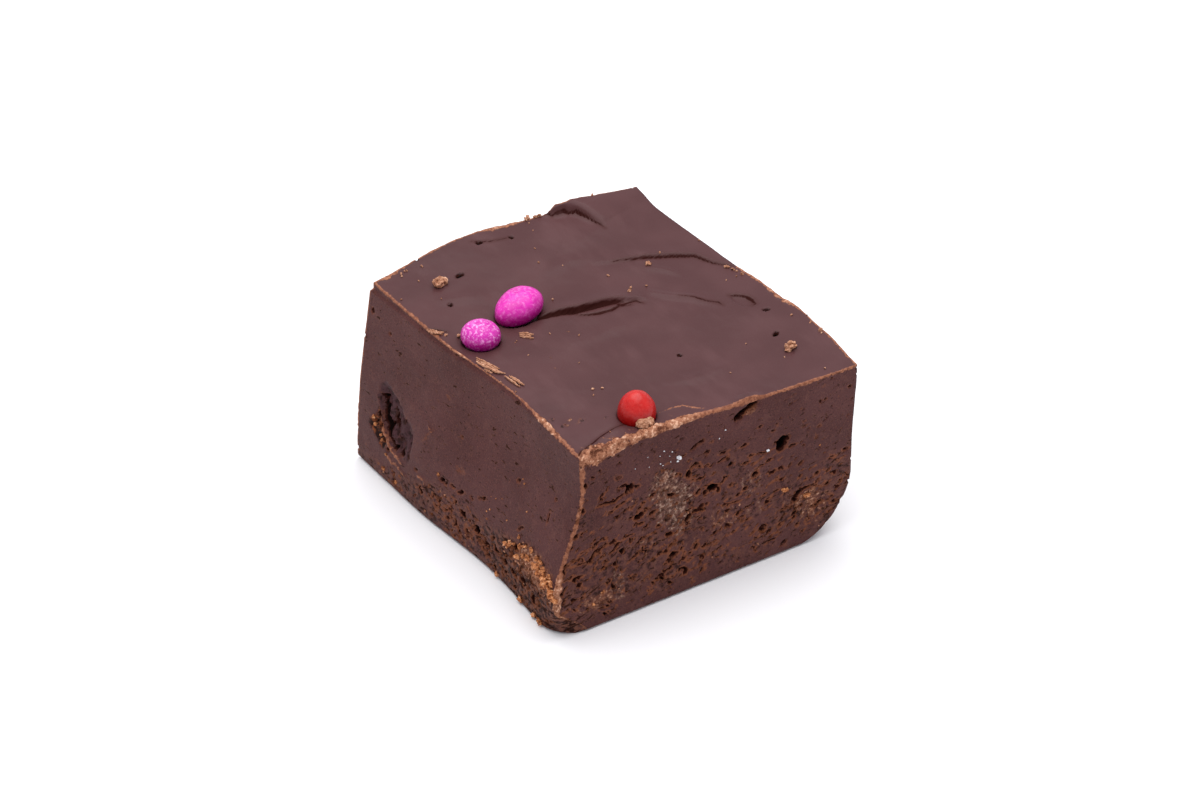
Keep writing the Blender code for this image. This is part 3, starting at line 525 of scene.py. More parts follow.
def skin_height(x, y):
    s, t = across(x), along(y)
    front = mix(TOP_FRONT_LEFT, TOP_FRONT_RIGHT, s)
    back = mix(TOP_BACK_LEFT, TOP_BACK_RIGHT, s)
    z = mix(front, back, t)
    z = z + BACK_SWELL * hump(s, *BACK_SWELL_AT) * smooth((t - 0.6) / 0.4)
    z = z + BACK_RIDGE * hump(s, *BACK_RIDGE_AT) * smooth((t - 0.7) / 0.3)
    z = z + FRONT_SWELL * hump(s, *FRONT_SWELL_AT) * smooth((0.25 - t) / 0.25)
    flat = zip(np.ravel(x) / SKIN_WAVE_LENGTH, np.ravel(y) / SKIN_WAVE_LENGTH)
    waves = [noise.noise((px, py, 3.7)) for px, py in flat]
    z = z + SKIN_WAVE * np.reshape(waves, np.shape(x))
    for fold in FOLDS:
        z = z + fold_height(x, y, *fold)
    return z


def on_skin(x, y):
    return float(skin_height(np.array(float(x)), np.array(float(y))))


def on_front(x, z):
    return x, float(front_wall(np.array(float(x)), np.array(float(z)))), z


def on_left(y, z):
    return float(left_wall(np.array(float(y)), np.array(float(z)))), y, z


# The fine mesh of the block: first corner and the two directions of each face
FACES = {
    "front": ((0, 0, 0), (1, 0, 0), (0, 0, 1)),
    "left": ((0, LINES[1], 0), (0, -1, 0), (0, 0, 1)),
    "top": ((0, 0, LINES[2]), (1, 0, 0), (0, 1, 0)),
    "back": ((LINES[0], LINES[1], 0), (-1, 0, 0), (0, 0, 1)),
    "pan": ((LINES[0], 0, 0), (0, 1, 0), (0, 0, 1)),
    "base": ((0, 0, 0), (0, 1, 0), (1, 0, 0)),
}


def face_size(direction):
    """How many lines a face spans in one direction."""
    return sum(abs(d) * n for d, n in zip(direction, LINES))


def point_of(name, a, b):
    """The crossing of lines that lies a and b steps from the first corner of a face."""
    corner, da, db = FACES[name]
    return tuple(c + a * p + b * q for c, p, q in zip(corner, da, db))


def mesh_points():
    """The crossings of lines that a face of the fine mesh uses, numbered."""
    numbers = {}
    for name, (_, da, db) in FACES.items():
        step = FACE_STEPS[name]
        for a in range(0, face_size(da) + 1, step):
            for b in range(0, face_size(db) + 1, step):
                numbers.setdefault(point_of(name, a, b), len(numbers))
    return numbers


def mesh_cells(numbers):
    """Cells of all six faces. A cell at a face's border takes in its finer neighbour's points."""
    cells = []
    for name, (_, da, db) in FACES.items():
        step, size_a, size_b = FACE_STEPS[name], face_size(da), face_size(db)
        for a in range(0, size_a, step):
            for b in range(0, size_b, step):
                border = a == 0 or b == 0 or a + step == size_a or b + step == size_b
                if step == 1 or not border:
                    corners = ((a, b), (a + step, b), (a + step, b + step), (a, b + step))
                    cells.append([numbers[point_of(name, *c)] for c in corners])
                    continue
                ring = [(a + n, b) for n in range(step)] + [(a + step, b + n) for n in range(step)]
                ring += [(a + step - n, b + step) for n in range(step)]
                ring += [(a, b + step - n) for n in range(step)]
                keys = [point_of(name, *c) for c in ring]
                corner = [n % step == 0 for n in range(4 * step)]
                on_border = [p in (0, size_a) or q in (0, size_b) for p, q in ring]
                cells.append([
                    numbers[k] for k, c, e in zip(keys, corner, on_border) if c or (e and k in numbers)
                ])
    return cells


def settle(u, v, w):
    """Points of the block from shares of its width, length and height, by settling the walls."""
    x, y = mix(-HALF_WIDTH, HALF_WIDTH, u), mix(-HALF_LENGTH, HALF_LENGTH, v)
    z = w * HEIGHT
    for _ in range(SETTLING_ROUNDS):
        x = mix(left_wall(y, z) + rim(z), right_wall(y, z) - rim(z), u)
        y = mix(front_wall(x, z) + rim(z), back_wall(x, z) - rim(z), v)
        z = w * skin_height(x, y)
    return x, y, z


# Relief of the faces. A gap is a distance in millimetres, positive inside the thing it is named for, and
# FAR stands for any that is too far outside to matter.
FAR = -0.6
# Share of a pit's half size over which its wall goes down, and where that begins
PIT_WALL, PIT_BRIM = 0.8, 1.1


def pits(a, b, places):
    """Gap and depth of pits given as (a, b, half length, half height, depth, tilt in degrees)."""
    gap, depth = np.full(a.shape, FAR), np.zeros(a.shape)
    for middle_a, middle_b, half, up, deep, tilt in places:
        turn = math.radians(tilt)
        da, db = a - middle_a, b - middle_b
        p = (da * math.cos(turn) + db * math.sin(turn)) / half
        q = (db * math.cos(turn) - da * math.sin(turn)) / up
        reach = np.hypot(p, q)
        gap = np.maximum(gap, np.minimum((1.0 - reach) * min(half, up), 0.6 * deep - 0.12))
        depth = np.maximum(depth, deep * smooth((PIT_BRIM - reach) / PIT_WALL))
    return gap, depth


def tears(a, b, places):
    """Gap and depth of tears given as (points, half width, depth), which taper to their ends."""
    gap, depth = np.full(a.shape, FAR), np.zeros(a.shape)
    for points, half, deep in places:
        distance, share = along_line(a, b, points)
        swell = half * np.clip(np.sin(np.pi * share), 0.05, 1.0) ** 0.5
        gap = np.maximum(gap, swell - np.abs(distance))
        depth = np.maximum(depth, deep * smooth(1.0 - np.abs(distance) / (1.4 * half)) * swell / half)
    return gap, depth


def outline_gap(a, b, points):
    """How far inside an outline points lie, negative outside it."""
    gap, inside = np.full(a.shape, np.inf), np.zeros(a.shape, bool)
    for (a0, b0), (a1, b1) in zip(points, points[1:] + points[:1]):
        along_a, along_b = a1 - a0, b1 - b0
        run = np.clip(((a - a0) * along_a + (b - b0) * along_b) / (along_a**2 + along_b**2), 0.0, 1.0)
        gap = np.minimum(gap, np.hypot(a - a0 - run * along_a, b - b0 - run * along_b))
        if b0 != b1:
            inside ^= ((b0 > b) != (b1 > b)) & (a < a0 + (b - b0) * along_a / along_b)
    return np.where(inside, gap, -gap)


def strewn_pits(seed, count, size_a, size_b, share, sizes, power, tilts):
    """Small pits at random, as many at each place as share(a, b), from 0 to 1, lets through."""
    rng = random.Random(seed)
    places = []
    while len(places) < count:
        a, b = rng.uniform(*size_a), rng.uniform(*size_b)
        if rng.random() > share(a, b):
            continue
        half = mix(*sizes, rng.random() ** power)
        up = half * rng.uniform(0.30, 0.65)
        places.append((a, b, half, up, half * rng.uniform(1.4, 2.2), rng.uniform(*tilts)))
    return places


def billow(a, b, length, seed):
    """Rounded lumps with sharp gaps between them, from about -0.5 to 0.5."""
    return 0.42 - 1.5 * np.abs(grain(a, 0.0, b, length, seed, 2))


def porousness(x, z):
    """How porous the cut face is: most at the lower left, least in the upper right corner."""
    low = smooth((18.5 - z) / 9.0) * smooth((z - 0.4) / 1.8)
    return low * mix(1.0, 0.15, smooth((x - 2.0) / 9.0) * smooth((z - 7.0) / 5.0))


def porous_relief(x, z, edge, seed=0.0):
    """The porous face: depth inwards, and its pits, bruised, frosted and crumb-strewn places.

    The back is a face of the same kind with another seed, without the pits and patches of the front.
    """
    here_only = 1.0 if seed == 0.0 else 0.0
    ragged = grain(x, 0.0, z, 0.6, 1 + seed, 2)
    bent_x = x + 0.20 * grain(x, 0.0, z, 0.8, 8 + seed, 2)
    bent_z = z + 0.13 * grain(x, 0.0, z, 0.7, 9 + seed, 2)
    run, rise = x * 0.95 + z * 0.31, z * 0.95 - x * 0.31
    porous = porousness(x, z)
    clumps = smooth(0.5 + 0.9 * grain(x, 0.0, z, 2.8, 3 + seed))

    # Pits, tears, and slits that the knife drew along a rising line
    places = strewn_pits(
        seed=41 + int(seed), count=240, size_a=(-17.5, 17.8), size_b=(0.8, 20.0),
        share=lambda a, b: float(porousness(a, b)) * 0.95 + 0.04,
        sizes=(0.12, 0.42), power=2.4, tilts=(-5.0, 35.0),
    )
    gap, depth = pits(bent_x, bent_z, places)
    half_bent_x, half_bent_z = (x + bent_x) / 2, (z + bent_z) / 2
    hole_gap, hole_depth = pits(half_bent_x, half_bent_z, FRONT_PITS if here_only else [])
    tear_gap, tear_depth = tears(half_bent_x, half_bent_z, FRONT_TEARS if here_only else [])
    gap, depth = np.maximum(gap, hole_gap), np.maximum(depth, hole_depth)
    slit = grain(run / 2.6, 0.0, rise, 0.42, 4 + seed, 3) - mix(0.62, 0.30, porous * (0.35 + 0.65 * clumps))
    gap = np.maximum.reduce([gap, tear_gap, np.where(slit < 0.0, 1.2, 0.3) * slit])
    depth = np.maximum(depth, tear_depth) + 0.30 * smooth(slit / 0.25)

    # Rough places and patches
    crags = billow(x, z, 0.9, 5 + seed)
    rough = 0.6 * porous * (0.15 + 0.85 * clumps)
    depth = depth - 0.14 * rough * crags + 0.05 * grain(x, 0.0, z, 2.4, 6 + seed, 2)
    tan, frost = np.zeros(x.shape), np.zeros(x.shape)
    for middle_x, middle_z, half, up, how_tan, how_frosted in FRONT_PATCHES if here_only else []:
        reach = np.hypot((x - middle_x) / half, (z - middle_z) / up) * (1.0 + 0.35 * ragged)
        here = smooth(1.5 - reach)
        depth = depth + here * (0.05 - 0.14 * billow(x, z, 0.5, 7))
        tan, frost = np.maximum(tan, how_tan * here), np.maximum(frost, how_frosted * here)
    if here_only:
        crescent, _ = along_line(x, z, CRESCENT)
        tan = np.maximum(tan, 1.3 * smooth((0.45 - np.abs(crescent)) / 0.25))
        middle_x, middle_z, half, up = CRESCENT_DENT
        depth = depth + 0.40 * smooth(1.2 - np.hypot((x - middle_x) / half, (z - middle_z) / up))

    # Rims, bruised and crumbly where the burr is wide
    burr_width = along_table(x, BURR_WIDTH) if here_only else 0.2
    burr = burr_width * (1.0 + 0.45 * ragged) - edge["top"]
    side = 0.6 * along_table(z, SIDE_WIDTH) * (1.0 + 0.5 * ragged) - edge["left"]
    crumbly = np.maximum(
        smooth(burr / 0.3 + 0.5) * smooth((0.5 - x) / 2.5) * (0.3 + 0.7 * here_only),
        smooth(side / 0.3 + 0.5) * (0.1 + 0.7 * hump(z, 5.4, 3.0)),
    )
    lumps = grain(x, 0.0, z, 0.9, 10 + seed, 4)
    depth = depth * (1.0 - crumbly) - crumbly * (0.08 + 0.30 * lumps)
    return depth, {
        "pit": gap - 0.4 * crumbly, "rim": np.maximum(burr, side), "crumbly": crumbly, "lumps": lumps,
        "tan": tan, "frost": frost, "rough": np.maximum.reduce([rough, 0.8 * frost, 0.7 * tan]),
        "crumbs": np.clip(0.35 * crumbly + 0.25 * tan + 0.10 * rough, 0.0, 1.0),
    }


def smooth_face_relief(y, z, edge):
    """The smooth face: its hollow, the band that crumbles below a slanting line, and its rims."""
    ragged = grain(0.0, y, z, 0.6, 11, 2)
    bent_y = y + 0.20 * grain(0.0, y, z, 0.8, 18, 2)
    bent_z = z + 0.16 * grain(0.0, y, z, 0.7, 19, 2)
    line = along_table(y, CRUMBLE_LINE) + 0.5 * grain(0.0, y, z, 2.2, 12, 2)
    band = smooth((line - z) / 1.8)

    def pitted(a, b):
        below = float(smooth((along_table(a, CRUMBLE_LINE) - b) / 2.5))
        return below * (0.9 if a < 4.0 else 0.4) + 0.01

    places = strewn_pits(
        seed=43, count=210, size_a=(-18.0, 19.0), size_b=(0.5, 9.0), share=pitted,
        sizes=(0.13, 0.42), power=2.2, tilts=(-50.0, 50.0),
    )
    gap, depth = pits(bent_y, bent_z, places + LEFT_PITS)

    # The hollow and its pocket
    waver_y = bent_y + 0.5 * grain(0.0, y, z, 1.6, 33, 2)
    waver_z = bent_z + 0.4 * grain(0.0, y, z, 1.6, 34, 2)
    hollow = outline_gap(waver_y, waver_z, HOLLOW)
    pocket = outline_gap(waver_y, waver_z, POCKET)
    hole_gap, hole_depth = pits(bent_y, bent_z, HOLLOW_PITS)
    tear_gap, tear_depth = tears(bent_y, bent_z, HOLLOW_TEARS)
    gap = np.maximum.reduce([gap, hole_gap, tear_gap])
    depth = np.maximum.reduce([depth, hole_depth, tear_depth])
    floor = 0.80 + 0.45 * grain(0.0, y, z / 2.5, 0.9, 13, 3)
    pocket_floor = 0.45 - 0.5 * billow(y, z, 0.7, 14)
    depth = depth + floor * smooth(hollow / 1.5 + 0.12) + pocket_floor * smooth(pocket / 0.5)

    # The chunky patch, the rough band and the ridges
    middle_y, middle_z, half, up = CHUNKS
    reach = np.hypot((y - middle_y) / half, (z - middle_z) / up)
    chunks = smooth(1.2 - reach * (1.0 + 0.25 * ragged))
    crags = billow(y, z, 0.8, 16)
    rough = band * mix(0.55, 1.0, smooth((-4.0 - y) / 5.0))
    depth = depth - 0.14 * rough * crags + chunks * (0.18 - 0.40 * billow(y, z, 0.75, 15))
    depth = depth + 0.02 * grain(0.0, y / 5.0, z, 1.1, 15) + 0.05 * grain(0.0, y, z, 3.0, 20, 2)
    ridge = np.full(y.shape, FAR)
    for points, half_width in LEFT_RIDGES:
        distance, _ = along_line(bent_y, bent_z, points)
        ridge = np.maximum(ridge, half_width * (1.0 + 0.5 * ragged) - np.abs(distance))
    depth = depth - 0.20 * smooth(ridge / 0.2 + 0.5)

    # Rims at the top, at the near corner and at the back
    lumps = grain(0.0, y, z, 0.5, 17, 3)
    rim_gap = along_table(y, LEFT_RIM) * 0.4 * (1.0 + 0.5 * ragged) - edge["top"]
    front_width = mix(0.32, 0.16, smooth((z - 5.0) / 5.0)) * smooth((z - 2.0) / 2.0)
    front_gap = front_width * (1.0 + 0.6 * ragged) - edge["front"]
    back_gap = 0.12 * (1.0 + 0.8 * ragged) - edge["back"]
    crumbly = smooth(rim_gap / 0.2 + 0.5) * along_table(y, LEFT_CRUMBLE) * 0.7
    crumbly = np.maximum(crumbly, smooth(front_gap / 0.2 + 0.5) * (0.2 + 0.8 * hump(z, 5.0, 3.5)))
    depth = depth - crumbly * (0.10 + 0.35 * lumps)
    return depth, {
        "pit": gap - 0.4 * crumbly, "rim": np.maximum.reduce([rim_gap, front_gap, back_gap, ridge]),
        "crumbly": np.maximum(crumbly, 0.5 * chunks), "lumps": lumps, "rough": np.maximum(rough, chunks),
        "tan": 0.75 * chunks + 0.4 * smooth(pocket), "hollow": hollow, "pocket": pocket,
        "crumbs": np.clip(0.4 * crumbly + 0.4 * chunks + 0.25 * rough + 0.3 * smooth(pocket), 0.0, 1.0),
    }


def bead_seats(x, y):
    """Depth of the dimples that the beads sit in."""
    depth = np.zeros(x.shape)
    for (bead_x, bead_y), above, (half_x, half_y, half_z), turn, _, _, _ in BEADS.values():
        angle = math.radians(turn)
        dx, dy = x - bead_x, y - bead_y
        p = dx * math.cos(angle) + dy * math.sin(angle)
        q = dy * math.cos(angle) - dx * math.sin(angle)
        belt = math.sqrt(1.0 - (above / half_z) ** 2)
        reach = np.hypot(p / (half_x * belt), q / (half_y * belt))
        gap = (reach - 1.0) * min(half_x, half_y) * belt
        depth = depth + SEAT_DEPTH * smooth((0.12 - gap) / 0.35) + 0.16 * np.exp(-np.maximum(gap, 0.0) / 0.6)
    return depth


def skin_relief(x, y, edge):
    """The skin: its creases, faint wrinkles, bubbles and dimple, the beads' seats and torn rims."""
    ragged = grain(x, y, 0.0, 0.6, 21, 2)
    bent_x = x + 0.10 * grain(x, y, 0.0, 0.9, 22, 2)
    bent_y = y + 0.10 * grain(x, y, 0.0, 0.9, 28, 2)

    # Creases, wrinkles, bubbles and the dimple
    crease, crease_depth = tears(bent_x, bent_y, CREASES)
    pale, pale_height = tears(bent_x, bent_y, PALE_LINES)
    wrinkles = np.zeros(x.shape)
    for points, height, width in WRINKLES:
        distance, share = along_line(x, y, points)
        wrinkles = wrinkles + height * np.sin(np.pi * share) * np.exp(-((distance / width) ** 2))
    gap, depth = pits(bent_x, bent_y, SKIN_PITS)
    _, spot_depth = pits(x + 0.35 * ragged, y + 0.30 * grain(x, y, 0.0, 0.5, 27, 2), SKIN_SPOTS)
    spots = 20.0 * spot_depth
    dimple = outline_gap(x, y, DIMPLE)
    ripple = 0.09 * grain(x, y, 0.0, 4.5, 23) + 0.018 * grain(x, y, 0.0, 1.3, 24, 2)
    depth = depth + crease_depth - pale_height - 1.5 * wrinkles + ripple + bead_seats(x, y)
    depth = depth + 0.20 * smooth(dimple / 0.3)
    depth = depth - 0.40 * hump(x, *SLOT_BULGE_AT) * smooth(1.0 - edge["front"] / 1.4)

    # Rims: the burr at the front, the left one, and a thin one round the far edges
    burr = along_table(x, TOP_BURR_WIDTH) * (1.0 + 0.9 * ragged) - edge["front"]
    left = 0.65 * along_table(y, LEFT_RIM) * (1.0 + 0.5 * ragged) - edge["left"]
    far_width = 0.16 + 0.35 * smooth(grain(x, y, 0.0, 5.0, 25) * 2.0)
    far_edge = np.minimum(edge["right"] + smooth((y - 0.5) / 2.0), edge["back"] + smooth((x - 4.0) / 2.0))
    far = far_width * (1.0 + 0.7 * ragged) - far_edge
    crumbly = np.maximum.reduce([
        smooth(burr / 0.25 + 0.5) * smooth((0.5 - x) / 2.5),
        smooth(left / 0.2 + 0.5) * along_table(y, LEFT_CRUMBLE),
        0.35 * smooth(far / 0.2 + 0.5),
    ])
    lumps = grain(x, y, 0.0, 0.9, 26, 4)
    depth = depth - crumbly * (0.10 + 0.22 * lumps)
    plate = smooth((-15.7 - y) / 0.8) * smooth((0.5 - x) / 2.0) * (0.5 + 0.5 * ragged)
    return depth, {
        "pit": gap, "crease": crease, "rim": np.maximum.reduce([burr, left, far, pale]), "crumbly": crumbly,
        "lumps": lumps, "tan": np.maximum(0.35 * plate, 0.45 * spots), "rough": 0.6 * spots,
        "skin": np.ones(x.shape), "crumbs": np.clip(0.35 * crumbly + 0.04 * plate + 0.20 * spots, 0.0, 1.0),
    }


def pan_relief(x, y, z, edge):
    """The pan side: smooth, with a slow wave, and bruised along a part of its top edge."""
    ragged = grain(x, y, z, 0.8, 31, 2)
    far = 0.25 * (1.0 + 0.7 * ragged) - edge["top"] - smooth((y - 0.5) / 2.0)
    return 0.10 * grain(x, y, z, 5.0, 32, 2), {"rim": far, "pan": np.ones(x.shape)}


# Marks of the mesh that its finish reads, and their values where nothing is marked
MARKS = {
    "pit": FAR, "crease": FAR, "rim": FAR, "hollow": FAR, "pocket": FAR, "lumps": FAR, "crumbly": 0.0,
    "tan": 0.0, "frost": 0.0, "rough": 0.0, "crumbs": 0.0, "skin": 0.0, "pan": 0.0,
}


def make_fudge():
    """The whole block as one closed mesh, its marks kept as attributes for the finish."""
    numbers = mesh_points()
    even = np.array(list(numbers)) / np.array(LINES)
    u, v, w = (even - np.array(CROWDING) * np.sin(np.pi * even) / np.pi).T
    x, y, z = settle(u, v, w)
    marks = {name: np.full(len(u), least) for name, least in MARKS.items()}
    edge = {
        "top": (1.0 - w) * HEIGHT, "left": u * SKIN_WIDTH, "right": (1.0 - u) * SKIN_WIDTH,
        "front": v * SKIN_LENGTH, "back": (1.0 - v) * SKIN_LENGTH,
    }
    moved = np.stack([x, y, z], axis=1)
    u_share, v_share, w_share = even.T
    # Which points lie on a face, the axis it looks along, which way is inwards, and its relief
    plan = [
        (v_share == 0.0, 1, 1.0, lambda i, e: porous_relief(x[i], z[i], e)),
        (u_share == 0.0, 0, 1.0, lambda i, e: smooth_face_relief(y[i], z[i], e)),
        (w_share == 1.0, 2, -1.0, lambda i, e: skin_relief(x[i], y[i], e)),
        (v_share == 1.0, 1, -1.0, lambda i, e: porous_relief(-x[i], z[i], e, 50.0)),
        (u_share == 1.0, 0, -1.0, lambda i, e: pan_relief(x[i], y[i], z[i], e)),
    ]
    for here, axis, inward, relief in plan:
        chosen = np.flatnonzero(here)
        depth, found = relief(chosen, {name: value[chosen] for name, value in edge.items()})
        moved[chosen, axis] += inward * depth * (smooth(z[chosen] / 0.6) if axis != 2 else 1.0)
        for name, value in found.items():
            marks[name][chosen] = np.maximum(marks[name][chosen], np.clip(value, FAR, 1.2))
    moved[:, 2] = np.where(w_share == 0.0, 0.0, np.maximum(moved[:, 2], 0.02))
    marks["crumbs"] *= smooth((z - 0.4) / 0.3)
    mesh = bpy.data.meshes.new("fudge")
    mesh.from_pydata((moved * MM).tolist(), [], mesh_cells(numbers))
    for name, value in marks.items():
        mesh.attributes.new(name, "FLOAT", "POINT").data.foreach_set("value", value.astype(np.float32))
    mesh.shade_smooth()
    return add_piece("fudge", mesh)


# Pieces and beads

def add_piece(name, mesh):
    piece = bpy.data.objects.new(name, mesh)
    bpy.context.scene.collection.objects.link(piece)
    return piece


def piece_from(name, bm, rounded=True):
    """A piece from a mesh built in millimetres."""
    bm.transform(Matrix.Scale(MM, 4))
    mesh = bpy.data.meshes.new(name)
    bm.to_mesh(mesh)
    bm.free()
    if rounded:
        mesh.shade_smooth()
    return add_piece(name, mesh)


def make_bead(name, middle, above, halves, turn, tilt, ends):
    """An egg-like bead with the faint pitting of a sugar shell. Its crown attribute is 1 at the top."""
    bm = bmesh.new()
    bmesh.ops.create_icosphere(bm, subdivisions=5, radius=1.0)
    crown = bm.verts.layers.float.new("crown")
    for vert in bm.verts:
        vert[crown] = vert.co.z
        girth = (1.0 + ends[0] * vert.co.x) * (1.0 + ends[1] * vert.co.z)
        dent = 1.0 + 0.012 * noise.fractal(vert.co * 2.6, 1.0, 2.0, 3) + 0.003 * noise.noise(vert.co * 14.0)
        length = girth if ends[1] else 1.0
        a, b, c = (half * dent for half in halves)
        vert.co = Vector((a * vert.co.x * length, b * vert.co.y * girth, c * vert.co.z))
    turned = Euler((0.0, math.radians(tilt), math.radians(turn)), "XYZ").to_matrix().to_4x4()
    bm.transform(Matrix.Translation((*middle, on_skin(*middle) + above)) @ turned)
    return piece_from(f"{name}_shell", bm)


# Crumbs and shavings

def add_lump(bm, place, halves, turn, seed, finer=2, crag=0.45):
    """One rough, angular lump, kept above the table."""
    new = bmesh.ops.create_icosphere(bm, subdivisions=finer, radius=1.0)["verts"]
    turned = Euler(turn).to_matrix()
    for vert in new:
        swell = 1.0 + crag * noise.fractal(vert.co * 1.4 + Vector((seed, 0, 0)), 0.8, 2.2, 3)
        vert.co = Vector(place) + turned @ Vector(a * b * swell for a, b in zip(vert.co, halves))
        vert.co.z = max(vert.co.z, 0.0)


def any_turn(rng):
    return [rng.uniform(0.0, FULL_TURN) for _ in range(3)]


def make_skin_crumbs():
    """Crumbs that lie on the skin, each stuck together from a few lumps, and single specks."""
    bm = bmesh.new()
    rng = random.Random(7)
    for x, y, length, width, turn, count in SKIN_CRUMBS:
        angle = math.radians(turn)
        for _ in range(count):
            a = rng.uniform(-0.5, 0.5) * length * 0.75
            b = rng.uniform(-0.5, 0.5) * width * 0.75
            px = float(np.clip(x + a * math.cos(angle) - b * math.sin(angle), *CRUMB_REACH_X))
            py = float(np.clip(y + a * math.sin(angle) + b * math.cos(angle), *CRUMB_REACH_Y))
            half = width * rng.uniform(0.24, 0.42)
            pz = on_skin(px, py) + half * rng.uniform(0.2, 1.1)
            halves = (half * rng.uniform(0.9, 1.7), half, half * rng.uniform(0.5, 0.9))
            add_lump(bm, (px, py, pz), halves, any_turn(rng), rng.uniform(0, 99), 3, 0.3)
    for x, y in SKIN_SPECKS:
        half = rng.uniform(0.07, 0.13)
        place = (x, y, on_skin(x, y) + 0.5 * half)
        add_lump(bm, place, (1.5 * half, half, 0.8 * half), any_turn(rng), rng.uniform(0, 99), 1)
    return piece_from("skin_crumbs", bm, False)


def make_wall_lumps():
    """Lumps and specks that stick out of the two cut faces, half sunk into them."""
    bm = bmesh.new()
    rng = random.Random(23)
    for y, z, half, up in LEFT_LUMPS:
        for _ in range(3):
            share = Vector((rng.uniform(-0.6, 0.6) * half, rng.uniform(-0.6, 0.6) * up))
            px, py, pz = on_left(y + share.x, z + share.y)
            size = min(half, up) * rng.uniform(0.8, 1.4)
            halves = [size * rng.uniform(*spread) for spread in ((0.6, 1.0), (0.5, 1.4), (0.6, 1.5))]
            place = (px + size * rng.uniform(-0.25, 0.45), py, max(pz, 0.35))
            add_lump(bm, place, halves, any_turn(rng), rng.uniform(0, 99), 2, 0.75)
    for y, z, size in LEFT_SPECKS:
        add_lump(bm, on_left(y, z), (0.5 * size, 0.6 * size, 0.6 * size), any_turn(rng), rng.uniform(0, 99))
    for x, z, size in FRONT_CRUMBS:
        for _ in range(4):
            px, py, pz = on_front(x + rng.uniform(-0.5, 0.5) * size, z + rng.uniform(-0.25, 0.25) * size)
            half = size * rng.uniform(0.22, 0.38)
            halves = (half * 1.4, half, half)
            add_lump(bm, (px, py, pz), halves, any_turn(rng), rng.uniform(0, 99), 3)
    return piece_from("wall_lumps", bm, False)


def make_shavings():
    """Shavings that the knife left: bundles of thin ragged slivers along a line on the skin."""
    bm = bmesh.new()
    rng = random.Random(19)
    for points, width, slivers in SHAVINGS:
        line = [Vector(p) for p in points]
        for sliver in range(slivers):
            first, last = rng.uniform(0.0, 0.25), rng.uniform(0.72, 1.0)
            offset = (sliver / max(slivers - 1, 1) - 0.5) * width * 1.1 + rng.uniform(-0.05, 0.05)
            lift = rng.uniform(0.08, 0.26)
            steps, rings = 14, []
            for step in range(steps + 1):
                share = mix(first, last, step / steps) * (len(line) - 1)
                n = min(int(share), len(line) - 2)
                here = line[n].lerp(line[n + 1], share - n)
                ahead = (line[n + 1] - line[n]).normalized()
                aside = Vector((-ahead.y, ahead.x))
                taper = math.sin(math.pi * mix(0.04, 0.96, step / steps)) ** 0.35
                ragged = 1.0 + 0.6 * noise.noise((step * 0.9, sliver * 5.1, offset * 9.0))
                half = 0.5 * width * 0.42 * taper * ragged
                middle = here + aside * (offset * 1.2 + 0.08 * noise.noise((step * 0.4, sliver, 3.0)))
                z = on_skin(*middle) + lift + 0.14 * noise.noise((step * 0.35, sliver * 3.0, 8.0))
                thick = 0.12 * taper * ragged
                rings.append([
                    bm.verts.new((*(middle + aside * s * half), z + t * thick))
                    for s, t in ((-1, -0.3), (-0.6, -1), (0.5, -0.9), (1, 0.1), (0.6, 1), (-0.5, 0.8))
                ])
            for one, other in zip(rings, rings[1:]):
                for n in range(6):
                    bm.faces.new((one[n], one[(n + 1) % 6], other[(n + 1) % 6], other[n]))
            bm.faces.new(rings[0])
            bm.faces.new(rings[-1])
    bmesh.ops.recalc_face_normals(bm, faces=bm.faces)
    return piece_from("shavings", bm, False)


def make_crystals():
    """Sugar crystals and dust stuck on the porous face: small stretched and turned blocks."""
    bm = bmesh.new()
    rng = random.Random(31)
    for x, z, size in SUGAR_CRYSTALS:
        new = bmesh.ops.create_cube(bm, size=size)["verts"]
        for vert in new:
            vert.co *= Vector((0.75, 0.75, 1.15)) * rng.uniform(0.75, 1.1)
        px, py, pz = on_front(x, z)
        place = Matrix.Translation((px, py - 0.15 * size, pz)) @ Euler(any_turn(rng)).to_matrix().to_4x4()
        bmesh.ops.transform(bm, matrix=place, verts=new)
    bmesh.ops.triangulate(bm, faces=bm.faces)
    bmesh.ops.recalc_face_normals(bm, faces=bm.faces)
    return piece_from("sugar_crystals", bm, False)


